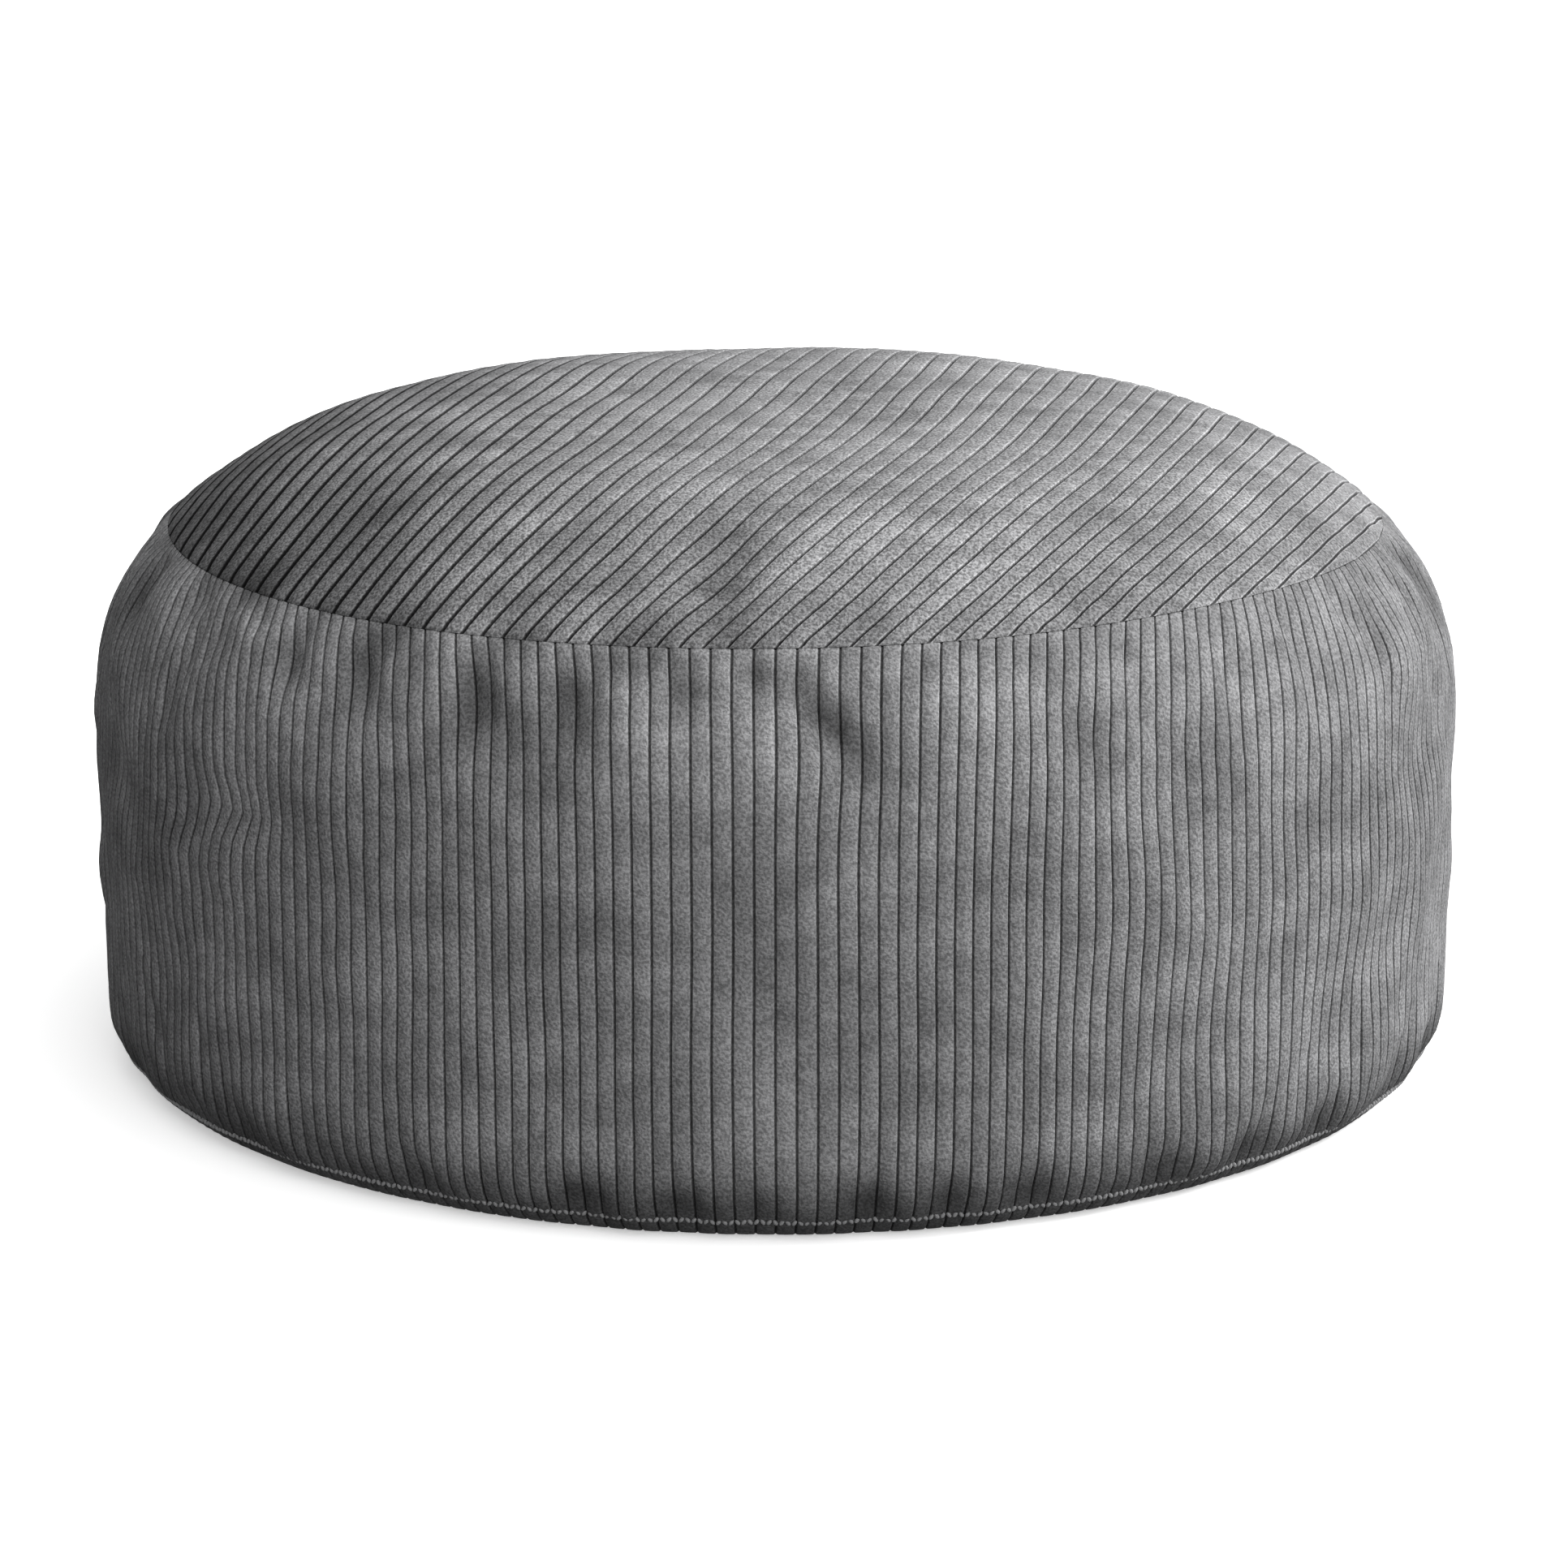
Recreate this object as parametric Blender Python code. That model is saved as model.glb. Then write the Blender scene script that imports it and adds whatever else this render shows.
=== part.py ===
"""Round corduroy bean bag pouffe: a filled drum sewn from three cloth panels.

A tall side band with upright wales carries a domed top panel whose wales run
across it in one direction, and a plain base panel closes the drum underneath.
Metres, +Z up. The front faces -Y and the origin is the middle of the footprint.
Angles run from the front, in degrees, and grow towards +X.
"""
import math

import bpy

# Whole bag
WIDEST_RADIUS = 0.300
SEAM_RADIUS = 0.2665
SEAM_HEIGHT = 0.2355
CROWN = 0.051
CROWN_POWER = 4.5
CLEARANCE = 0.0003
SHARP_ANGLE = 50.0

# Side band: the wall stands nearly straight between the corner and the shoulder
CORNER_HEIGHT = 0.045
CORNER_TUCK = 0.014
CORNER_POWER = 3.3
SHOULDER_HEIGHT = 0.130
SHOULDER_POWER = 3.3
HEM_HEIGHT = 0.014
WALL_ROWS = (HEM_HEIGHT, 0.045, 0.130, 0.180, 0.203, 0.219, 0.230)

# Corduroy: one crest and one groove for each wale
WALES_ROUND_SIDE = 252
WALE_DEPTH = 0.0015

# The upright wales spread at the seam in front and behind, and where the front is stretched
SHOULDER_SPREAD = 5.0
SPREAD_START = 0.120
FRONT_STRETCH = 0.10
FRONT_STRETCH_REACH = 15.0

# Top panel: its wales lean. Over the dome they bow out, open towards the left and lean less.
WALES_ACROSS_TOP = 59
POINTS_ALONG_TOP_WALE = 11
TOP_LEAN = 0.34
TOP_BOW = 0.024
TOP_FAN = 0.098
TOP_TWIST = 0.157
BOW_POWER = 3.0
RIM_THICKNESS = 0.002

# Base panel
BASE_THICKNESS = 0.0035
BASE_SIDES = 120

# The top seam is not quite level.
# (angle, rise, spread in degrees)
SEAM_WAVES = (
    (-40.0, -0.0022, 45.0),
    (45.0, 0.0020, 22.0),
    (150.0, -0.0015, 35.0),
    (-140.0, 0.0012, 30.0),
)

# Gathers in the side band. A swelling has a depth below zero, and a fold fades out past its
# ends over its own length times FOLD_REACH.
# (angle at the top, upper height, lower height, half width in degrees, depth, lean in degrees)
FOLD_REACH = 0.75
SIDE_GATHERS = (
    (-52.0, 0.222, 0.212, 1.6, 0.0014, 0.8),
    (-44.0, 0.224, 0.212, 1.8, 0.0020, 1.0),
    (-38.5, 0.205, 0.190, 2.4, -0.0006, 0.5),
    (-36.0, 0.227, 0.210, 1.6, 0.0028, 1.0),
    (-31.0, 0.227, 0.213, 1.4, 0.0016, 0.6),
    (-25.5, 0.227, 0.208, 1.7, 0.0028, 1.2),
    (-22.5, 0.222, 0.196, 2.2, 0.0012, 0.6),
    (-16.9, 0.226, 0.204, 1.8, 0.0030, 0.8),
    (-12.0, 0.214, 0.192, 2.4, -0.0006, 1.0),
    (-7.9, 0.228, 0.215, 1.4, 0.0020, 0.4),
    (-5.0, 0.218, 0.196, 1.8, -0.0006, 1.2),
    (-1.6, 0.231, 0.220, 1.3, 0.0022, 0.3),
    (-0.6, 0.204, 0.184, 1.6, -0.0006, 0.0),
    (1.9, 0.228, 0.211, 1.3, 0.0028, 1.4),
    (4.4, 0.212, 0.194, 1.5, 0.0024, 1.5),
    (7.6, 0.222, 0.198, 1.8, 0.0010, 1.2),
    (10.0, 0.220, 0.198, 2.0, -0.0006, 1.4),
    (17.0, 0.214, 0.194, 2.7, -0.0006, 1.0),
    (24.0, 0.210, 0.194, 1.5, 0.0016, 1.0),
    (33.0, 0.197, 0.180, 1.8, 0.0006, 3.0),
    (62.0, 0.228, 0.208, 2.0, 0.0008, -1.0),
    (79.0, 0.230, 0.205, 2.2, 0.0022, 1.5),
    (98.0, 0.229, 0.200, 1.8, 0.0024, -1.5),
    (113.0, 0.230, 0.210, 1.7, 0.0020, 1.0),
    (127.0, 0.226, 0.196, 2.2, 0.0022, 2.0),
    (146.0, 0.231, 0.205, 1.8, 0.0024, -1.0),
    (163.0, 0.228, 0.200, 2.0, 0.0022, 1.2),
    (179.0, 0.230, 0.210, 1.7, 0.0020, -0.6),
    (-165.0, 0.229, 0.198, 2.0, 0.0024, 1.6),
    (-148.0, 0.228, 0.206, 1.7, 0.0020, -1.2),
    (-131.0, 0.231, 0.203, 2.0, 0.0024, 1.0),
    (-112.0, 0.229, 0.208, 1.8, 0.0020, 1.4),
    (-95.0, 0.230, 0.200, 1.8, 0.0024, -1.0),
    (-74.0, 0.228, 0.206, 2.0, 0.0022, 1.0),
)

# Small gathers where the band is sewn to the base, fading out over HEM_REACH above and below.
# (angle, half width in degrees, depth)
HEM_REACH = 0.012
HEM_GATHERS = (
    (-68.0, 2.6, 0.0016),
    (-47.0, 2.9, 0.0014),
    (-29.0, 2.3, 0.0014),
    (-15.0, 2.1, 0.0022),
    (-7.0, 2.0, 0.0022),
    (-1.7, 1.7, 0.0018),
    (7.4, 1.8, 0.0024),
    (13.3, 1.7, 0.0018),
    (20.2, 2.1, 0.0020),
    (31.8, 2.3, 0.0018),
    (40.0, 2.1, 0.0016),
    (49.5, 2.3, 0.0016),
    (71.0, 2.6, 0.0018),
    (102.0, 3.1, 0.0020),
    (131.0, 2.9, 0.0018),
    (158.0, 3.1, 0.0020),
    (-171.0, 2.9, 0.0018),
    (-139.0, 3.1, 0.0020),
    (-108.0, 2.9, 0.0018),
)

# Hollows in the top panel, which fade out at the rim.
# (x, y, half length along y, half width along x, depth)
HOLLOW_RIM_FADE = 3.0
TOP_HOLLOWS = (
    (-0.021, -0.232, 0.036, 0.014, 0.0040),
    (-0.057, -0.224, 0.022, 0.012, 0.0020),
    (0.037, -0.250, 0.014, 0.010, 0.0018),
    (-0.180, -0.150, 0.030, 0.030, 0.0022),
    (0.150, -0.175, 0.030, 0.028, 0.0015),
    (0.050, 0.215, 0.032, 0.024, 0.0025),
    (-0.120, 0.190, 0.028, 0.030, 0.0022),
)


def remove_scene_objects():
    for old in list(bpy.data.objects):
        bpy.data.objects.remove(old, do_unlink=True)


def turn_between(angle, centre):
    """Signed turn from centre to angle, the short way round, in degrees."""
    return (angle - centre + 180.0) % 360.0 - 180.0


def bell(distance, half_width):
    return math.exp(-((distance / half_width) ** 2))


def at_angle(radius, angle, height):
    turn = math.radians(angle)
    return (radius * math.sin(turn), -radius * math.cos(turn), height)


def seam_wave(angle):
    """How far the top seam lies above its mean height at an angle."""
    return sum(rise * bell(turn_between(angle, centre), spread)
               for centre, rise, spread in SEAM_WAVES)


def wall_radius(height):
    """Radius over the crests, from the floor to the level top seam."""
    if height < CORNER_HEIGHT:
        tuck = CORNER_TUCK * (1.0 - height / CORNER_HEIGHT) ** CORNER_POWER
        return WIDEST_RADIUS - tuck
    if height < SHOULDER_HEIGHT:
        return WIDEST_RADIUS
    climb = (height - SHOULDER_HEIGHT) / (SEAM_HEIGHT - SHOULDER_HEIGHT)
    return WIDEST_RADIUS - (WIDEST_RADIUS - SEAM_RADIUS) * climb ** SHOULDER_POWER


def wale_angle(angle, height):
    """Where an upright wale that starts at an angle stands at a height."""
    from_front = turn_between(angle, 0.0)
    stretch = FRONT_STRETCH * from_front * bell(from_front, FRONT_STRETCH_REACH)
    if height < SPREAD_START:
        return angle + stretch
    shoulder = (WIDEST_RADIUS / wall_radius(height) - 1.0) / (WIDEST_RADIUS / SEAM_RADIUS - 1.0)
    return angle + stretch + SHOULDER_SPREAD * math.sin(math.radians(2.0 * angle)) * shoulder


def gather_depth(angle, height):
    """Depth of the folds below the top seam, less than zero on a swelling."""
    depth = 0.0
    for start, upper, lower, half_width, deep, lean in SIDE_GATHERS:
        middle = (upper + lower) / 2.0
        reach = (upper - lower) * FOLD_REACH
        drop = (upper - height) / (upper - lower)
        turn = turn_between(angle, start + lean * drop)
        depth += deep * bell(turn, half_width) * bell(height - middle, reach)
    return depth


def hem_depth(angle, height):
    """Depth of the small gathers just above the hem."""
    fade = bell(height - HEM_HEIGHT, HEM_REACH)
    return fade * sum(deep * bell(turn_between(angle, centre), half_width)
                      for centre, half_width, deep in HEM_GATHERS)


def material(name, colour, roughness):
    """A plain cloth material, its colour given as linear red, green and blue."""
    made = bpy.data.materials.new(name)
    made.use_nodes = True
    shader = made.node_tree.nodes["Principled BSDF"]
    shader.inputs["Base Color"].default_value = (*colour, 1.0)
    shader.inputs["Roughness"].default_value = roughness
    shader.inputs["Metallic"].default_value = 0.0
    made.diffuse_color = (*colour, 1.0)
    return made


def add_object(name, vertices, faces, cloth):
    """A smooth-shaded object from its points and its outward faces."""
    mesh = bpy.data.meshes.new(name)
    mesh.from_pydata(vertices, [], faces)
    mesh.materials.append(cloth)
    mesh.shade_smooth()
    mesh.set_sharp_from_angle(angle=math.radians(SHARP_ANGLE))
    made = bpy.data.objects.new(name, mesh)
    bpy.context.scene.collection.objects.link(made)
    return made


def band_faces(lower, upper, count):
    """Quads between two rings of points, counted from their first indices."""
    faces = []
    for column in range(count):
        after = (column + 1) % count
        faces.append((lower + column, lower + after, upper + after, upper + column))
    return faces


def side_band(cloth):
    """The filled drum between the base panel and the top seam."""
    columns = 2 * WALES_ROUND_SIDE
    bottom = BASE_THICKNESS + CLEARANCE
    top = SEAM_HEIGHT - CLEARANCE
    levels = [bottom, *WALL_ROWS, top]
    vertices = []
    for level in levels:
        share = (level - bottom) / (top - bottom)
        for column in range(columns):
            angle = wale_angle(360.0 * column / columns, level)
            radius = wall_radius(level) - WALE_DEPTH * (column % 2)
            if level < top:
                radius -= gather_depth(angle, level) + hem_depth(angle, level)
            vertices.append(at_angle(radius, angle, level + seam_wave(angle) * share))
    faces = []
    for row in range(len(levels) - 1):
        faces += band_faces(row * columns, (row + 1) * columns, columns)
    floor_centre = len(vertices)
    lid_centre = floor_centre + 1
    vertices += [(0.0, 0.0, bottom), (0.0, 0.0, top)]
    upper_ring = (len(levels) - 1) * columns
    for column in range(columns):
        after = (column + 1) % columns
        faces.append((floor_centre, after, column))
        faces.append((lid_centre, upper_ring + column, upper_ring + after))
    return add_object("side_band", vertices, faces, cloth)


def dome_share(x, y):
    """Height of the plain dome at a point of the plan, from 0 at the rim to 1 in the middle."""
    return 1.0 - min(math.hypot(x, y) / SEAM_RADIUS, 1.0) ** CROWN_POWER


def top_place(x, y):
    """Distance across the wales of the top at a point of the plan."""
    inside = 1.0 - min(math.hypot(x, y) / SEAM_RADIUS, 1.0) ** BOW_POWER
    return x - TOP_LEAN * y - (TOP_BOW + TOP_FAN * x - TOP_TWIST * y) * inside


def on_wale(place, y):
    """The x at which the wale at a place passes a given y, found by halving."""
    half = math.sqrt(max(SEAM_RADIUS ** 2 - y ** 2, 0.0))
    low, high = -half, half
    for _ in range(30):
        middle = (low + high) / 2.0
        if top_place(middle, y) < place:
            low = middle
        else:
            high = middle
    return (low + high) / 2.0


def dome_height(x, y):
    """Height of the top panel at a point of the plan, with its hollows."""
    radius = min(math.hypot(x, y), SEAM_RADIUS)
    share = radius / SEAM_RADIUS
    inside = dome_share(x, y)
    wave = seam_wave(math.degrees(math.atan2(x, -y))) * share ** 2
    height = SEAM_HEIGHT + wave + RIM_THICKNESS + (CROWN - RIM_THICKNESS) * inside
    for centre_x, centre_y, half_length, half_width, deep in TOP_HOLLOWS:
        near = bell(x - centre_x, half_width) * bell(y - centre_y, half_length)
        height -= deep * near * min(1.0, HOLLOW_RIM_FADE * inside)
    return height


def top_wale_lines():
    """Plan points of the top panel, one list of (x, y) for each crest or groove."""
    # On the rim the wales do not bow, so each meets it where a straight leaning line would
    lean = math.degrees(math.atan(TOP_LEAN))
    reach = SEAM_RADIUS * math.hypot(1.0, TOP_LEAN)
    count = 2 * WALES_ACROSS_TOP + 1
    lines = []
    for line in range(count):
        place = (2.0 * line + 1.0) / count - 1.0
        start = math.degrees(math.asin(place)) - lean
        stop = 180.0 - math.degrees(math.asin(place)) - lean
        if line == 0:
            stop -= 360.0
        _, front_y, _ = at_angle(SEAM_RADIUS, start, 0.0)
        _, back_y, _ = at_angle(SEAM_RADIUS, stop, 0.0)
        points = []
        for point in range(POINTS_ALONG_TOP_WALE):
            share = point / (POINTS_ALONG_TOP_WALE - 1)
            along = 0.5 - 0.5 * math.cos(math.pi * share)
            if line in (0, count - 1) or point in (0, POINTS_ALONG_TOP_WALE - 1):
                x, y, _ = at_angle(SEAM_RADIUS, start + (stop - start) * share, 0.0)
            else:
                y = front_y + (back_y - front_y) * along
                x = on_wale(reach * place, y)
            points.append((x, y))
        lines.append(points)
    return lines


def top_panel(cloth):
    """The domed lens above the seam, laid out in lines along its wales."""
    lines = top_wale_lines()
    across = len(lines)
    along = POINTS_ALONG_TOP_WALE
    rim = [line * along for line in range(across)]
    rim += [(across - 1) * along + point for point in range(1, along)]
    rim += [line * along + along - 1 for line in range(across - 2, -1, -1)]
    rim += list(range(along - 2, 0, -1))
    on_rim = set(rim)
    vertices = []
    for line, points in enumerate(lines):
        for x, y in points:
            sink = 0.0 if len(vertices) in on_rim else WALE_DEPTH * (line % 2)
            vertices.append((x, y, dome_height(x, y) - sink))
    faces = []
    for line in range(across - 1):
        for point in range(along - 1):
            first = line * along + point
            faces.append((first, first + along, first + along + 1, first + 1))
    under = len(vertices)
    for upper in rim:
        x, y, _ = vertices[upper]
        wave = seam_wave(math.degrees(math.atan2(x, -y)))
        vertices.append((x, y, SEAM_HEIGHT + wave))
    centre = len(vertices)
    vertices.append((0.0, 0.0, SEAM_HEIGHT))
    for step, upper in enumerate(rim):
        after = (step + 1) % len(rim)
        faces.append((under + step, under + after, rim[after], upper))
        faces.append((centre, under + after, under + step))
    return add_object("top_panel", vertices, faces, cloth)


def base_panel(cloth):
    """The flat plain disc that the bag stands on, tucked in under the hem."""
    foot = wall_radius(0.0)
    edge = wall_radius(BASE_THICKNESS) - CLEARANCE
    vertices = []
    for radius, height in ((foot, 0.0), (edge, BASE_THICKNESS)):
        for side in range(BASE_SIDES):
            vertices.append(at_angle(radius, 360.0 * side / BASE_SIDES, height))
    faces = band_faces(0, BASE_SIDES, BASE_SIDES)
    faces.append(tuple(reversed(range(BASE_SIDES))))
    faces.append(tuple(range(BASE_SIDES, 2 * BASE_SIDES)))
    return add_object("base_panel", vertices, faces, cloth)


def main():
    remove_scene_objects()
    side_cloth = material("side_corduroy", (0.190, 0.190, 0.192), 0.95)
    top_cloth = material("top_corduroy", (0.230, 0.230, 0.232), 0.95)
    base_cloth = material("base_cloth", (0.120, 0.120, 0.122), 0.90)
    bag = bpy.data.objects.new("bag", None)
    bpy.context.scene.collection.objects.link(bag)
    for piece in (side_band(side_cloth), top_panel(top_cloth), base_panel(base_cloth)):
        piece.parent = bag


if __name__ == "__main__":
    main()
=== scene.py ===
"""Round corduroy bean bag pouffe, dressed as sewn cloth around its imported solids.

The file is laid out as an add-on and is run as a script. Three cloth panels stand for
the three filled solids: a side cover with upright wales, a domed top cover and a plain
base cover, with a row of thread stitches along the hem. Metres, +Z up, front at -Y.
Angles run from the front, in degrees, and grow towards +X.
"""

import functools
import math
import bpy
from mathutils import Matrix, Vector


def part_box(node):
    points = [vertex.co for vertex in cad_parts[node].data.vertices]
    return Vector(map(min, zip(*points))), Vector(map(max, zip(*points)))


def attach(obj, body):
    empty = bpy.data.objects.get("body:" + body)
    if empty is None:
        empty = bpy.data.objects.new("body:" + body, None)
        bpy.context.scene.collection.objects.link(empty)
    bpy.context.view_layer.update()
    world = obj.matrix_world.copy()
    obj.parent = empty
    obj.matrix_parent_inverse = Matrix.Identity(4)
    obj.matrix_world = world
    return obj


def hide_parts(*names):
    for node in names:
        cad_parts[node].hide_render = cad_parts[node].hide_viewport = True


bl_info = {
    "name": "Corduroy Bean Bag",
    "version": (1, 0, 0),
    "blender": (4, 5, 0),
    "location": "View3D > Sidebar > Bean Bag",
    "description": "Builds a round bean bag pouffe in wide-wale corduroy, with its studio stage",
    "category": "Object",
}

import bpy
import numpy as np
from bpy.props import FloatProperty, FloatVectorProperty, IntProperty, PointerProperty
from bpy.types import Operator, Panel, PropertyGroup
from mathutils import Vector

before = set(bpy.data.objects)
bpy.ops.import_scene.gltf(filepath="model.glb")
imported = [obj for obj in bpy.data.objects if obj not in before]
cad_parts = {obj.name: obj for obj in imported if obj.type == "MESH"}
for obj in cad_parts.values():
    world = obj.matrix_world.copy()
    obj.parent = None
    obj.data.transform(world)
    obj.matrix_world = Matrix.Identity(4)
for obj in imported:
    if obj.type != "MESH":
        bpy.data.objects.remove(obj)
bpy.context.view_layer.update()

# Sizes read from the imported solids
BAND_LOW, BAND_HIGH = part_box("side_band")
TOP_LOW, TOP_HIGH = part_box("top_panel")
BASE_LOW, BASE_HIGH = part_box("base_panel")
WIDEST_RADIUS = (BAND_HIGH[0] - BAND_LOW[0]) / 2.0
SEAM_RADIUS = (TOP_HIGH[0] - TOP_LOW[0]) / 2.0
BASE_THICKNESS = BASE_HIGH[2] - BASE_LOW[2]
BAG_HEIGHT = TOP_HIGH[2] - BASE_LOW[2]

# The side cloth in section: a tucked corner, a straight wall and a rounded shoulder
SEAM_HEIGHT = 0.2355
CROWN = BAG_HEIGHT - SEAM_HEIGHT
CROWN_POWER = 4.5
CORNER_HEIGHT = 0.045
CORNER_TUCK = 0.014
CORNER_POWER = 3.3
SHOULDER_HEIGHT = 0.130
SHOULDER_POWER = 3.3
CLEARANCE = 0.0002
HEM_EDGE = 0.0006
HEM_TURN = 0.0016
HEM_TURN_HEIGHT = 0.003

# Corduroy layout
WALES_ROUND_SIDE = 252
WALES_ACROSS_TOP = 59
# Across the top the wales lean. Over the dome they bow out, open towards the left and lean less.
TOP_LEAN = 0.34
TOP_BOW = 0.024
TOP_FAN = 0.098
TOP_TWIST = 0.157
BOW_POWER = 3.0
# From the middle of the top to its outermost wale
TOP_REACH = SEAM_RADIUS * math.hypot(1.0, TOP_LEAN)
# Degrees by which the upright wales spread at the seam, in front and behind
SHOULDER_SPREAD = 5.0
# They run upright up to the first height and spread in full from the second
SPREAD_HEIGHTS = (0.05, 0.12)
# The filling stretches the cloth most in the middle of the front, where the wales stand apart
FRONT_STRETCH = 0.10
FRONT_STRETCH_REACH = 15.0
# Where the points lie across one wale: close together in the groove, and one on the crest
WALE_STEPS = (0.0, 0.035, 0.08, 0.13, 0.50, 0.87, 0.92, 0.965)
# Rows of points along the wales, and how much they crowd towards both edges
SIDE_ROWS = 49
SIDE_CROWDING = 0.055
TOP_ROWS = 120
TOP_CROWDING = 0.12
# Steps of the finely measured section, and halvings that find a wale on the top
SECTION_STEPS = 2000
HALVINGS = 40
# The share of a wale's relief that is left at a seam
EDGE_WALES = 0.45

# The top seam is not quite level: (angle, rise, spread in degrees)
SEAM_WAVES = (
    (-40.0, -0.0022, 45.0),
    (45.0, 0.0020, 22.0),
    (150.0, -0.0015, 35.0),
    (-140.0, 0.0012, 30.0),
)

# The cloth sinks by this share of a fold's depth, and the rest of the fold is painted shade. A fold
# as deep as DEEP_FOLD gets the full painted shade, and a swelling a little painted light. Then the
# strength of the painted shade and the limits of the painted shading.
FOLD_RELIEF = 0.55
DEEP_FOLD = 0.0055
PAINTED_SHADE_STRENGTH = 0.62
PAINTED_SHADING_LIMITS = (-0.5, 1.0)
# Painted shade beside the top seam, in patches, most round one angle at the left of the front and
# elsewhere by the least share
SEAM_SHADE = 0.80
SEAM_SHADE_LEAST = 0.25
SEAM_SHADE_ANGLE = -45.0
SEAM_SHADE_SPREAD = 38.0
SEAM_SHADE_DOWN = 0.0075
SEAM_SHADE_INWARD = 0.016
SEAM_PATCH_SIZE = 0.045
SEAM_PATCH_SEED = 31

# The soft unevenness of the side: lumps of beads, wales that wander by a few hundredths of a
# degree, the dip beside the seam, and the reach over which a seam holds the cloth still
SIDE_LUMPS = 0.0006
SIDE_LUMP_SIZE = 0.065
SIDE_WANDER = 0.05
SIDE_WANDER_SIZE = 0.12
SEAM_DIP = 0.0002
SEAM_DIP_REACH = 0.0018
HELD_REACH = 0.012
# The same for the top: lumps, short ripples at the rim, and the swelling just inside it
TOP_LUMPS = 0.0005
TOP_LUMP_SIZE = 0.09
RIPPLE = 0.0003
RIPPLE_SIZE = 0.028
RIPPLE_REACH = 0.012
RIM_SWELL = 0.0005
RIM_SWELL_REACH = 0.020

# Folds below the top seam. A swelling has a depth below zero.
# (angle at the top, upper height, lower height, half width in degrees, depth, lean in degrees)
SIDE_FOLDS = (
    (-52.0, 0.222, 0.212, 1.6, 0.0025, 0.8),
    (-44.0, 0.224, 0.212, 1.8, 0.0035, 1.0),
    (-38.5, 0.205, 0.190, 2.4, -0.0010, 0.5),
    (-36.0, 0.227, 0.210, 1.6, 0.0050, 1.0),
    (-31.0, 0.227, 0.213, 1.4, 0.0030, 0.6),
    (-25.5, 0.227, 0.208, 1.7, 0.0052, 1.2),
    (-22.5, 0.222, 0.196, 2.2, 0.0022, 0.6),
    (-16.9, 0.226, 0.204, 1.8, 0.0055, 0.8),
    (-12.0, 0.214, 0.192, 2.4, -0.0012, 1.0),
    (-7.9, 0.228, 0.215, 1.4, 0.0035, 0.4),
    (-5.0, 0.218, 0.196, 1.8, -0.0011, 1.2),
    (-1.6, 0.231, 0.220, 1.3, 0.0040, 0.3),
    (-0.6, 0.204, 0.184, 1.6, -0.0010, 0.0),
    (1.9, 0.228, 0.211, 1.3, 0.0050, 1.4),
    (4.4, 0.212, 0.194, 1.5, 0.0042, 1.5),
    (7.6, 0.222, 0.198, 1.8, 0.0018, 1.2),
    (10.0, 0.220, 0.198, 2.0, -0.0010, 1.4),
    (17.0, 0.214, 0.194, 2.7, -0.0010, 1.0),
    (24.0, 0.210, 0.194, 1.5, 0.0030, 1.0),
    (33.0, 0.197, 0.180, 1.8, 0.0012, 3.0),
    (62.0, 0.228, 0.208, 2.0, 0.0015, -1.0),
    (79.0, 0.230, 0.205, 2.2, 0.0040, 1.5),
    (98.0, 0.229, 0.200, 1.8, 0.0045, -1.5),
    (113.0, 0.230, 0.210, 1.7, 0.0035, 1.0),
    (127.0, 0.226, 0.196, 2.2, 0.0040, 2.0),
    (146.0, 0.231, 0.205, 1.8, 0.0045, -1.0),
    (163.0, 0.228, 0.200, 2.0, 0.0040, 1.2),
    (179.0, 0.230, 0.210, 1.7, 0.0035, -0.6),
    (-165.0, 0.229, 0.198, 2.0, 0.0045, 1.6),
    (-148.0, 0.228, 0.206, 1.7, 0.0035, -1.2),
    (-131.0, 0.231, 0.203, 2.0, 0.0045, 1.0),
    (-112.0, 0.229, 0.208, 1.8, 0.0035, 1.4),
    (-95.0, 0.230, 0.200, 1.8, 0.0045, -1.0),
    (-74.0, 0.228, 0.206, 2.0, 0.0040, 1.0),
)

# Small gathers just above the hem: (angle, half width in degrees, depth)
HEM_HEIGHT = 0.0165
HEM_REACH = 0.0095
HEM_FOLDS = (
    (-68.0, 2.6, 0.0035),
    (-47.0, 2.9, 0.0030),
    (-29.0, 2.3, 0.0030),
    (-15.0, 2.1, 0.0050),
    (-7.0, 2.0, 0.0050),
    (-1.7, 1.7, 0.0040),
    (7.4, 1.8, 0.0055),
    (13.3, 1.7, 0.0040),
    (20.2, 2.1, 0.0045),
    (31.8, 2.3, 0.0040),
    (40.0, 2.1, 0.0035),
    (49.5, 2.3, 0.0035),
    (71.0, 2.6, 0.0040),
    (102.0, 3.1, 0.0045),
    (131.0, 2.9, 0.0040),
    (158.0, 3.1, 0.0045),
    (-171.0, 2.9, 0.0040),
    (-139.0, 3.1, 0.0045),
    (-108.0, 2.9, 0.0040),
)

# The run that finds how the filling gathers the cloth: rings up the side and over the top,
# columns round them, steps, the share by which the panels are cut too full, and the
# farthest that a point may move
FILL_SIDE_RINGS = 30
FILL_TOP_RINGS = 14
FILL_COLUMNS = 240
FILL_FRAMES = 20
FILL_FULLNESS = 0.05
FILL_LIMIT = 0.0030
# The panels start a little uneven, so that the pressure finds where to fold them
FILL_BUMPS = 0.0008
FILL_BUMP_SIZE = 0.050
FILLED_CLOTH = {
    "quality": 6, "mass": 0.3, "tension_stiffness": 15.0, "compression_stiffness": 8.0,
    "shear_stiffness": 4.0, "bending_stiffness": 0.05, "use_pressure": True,
    "uniform_pressure_force": 4.0, "shrink_min": -FILL_FULLNESS,
}
# The share of the moves that the cloth keeps: on the taut front, at the slacker sides and on
# the top, which the filling stretches smooth
FRONT_SHARE = 0.25
SIDES_SHARE = 0.60
TOP_SHARE = 0.12
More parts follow.
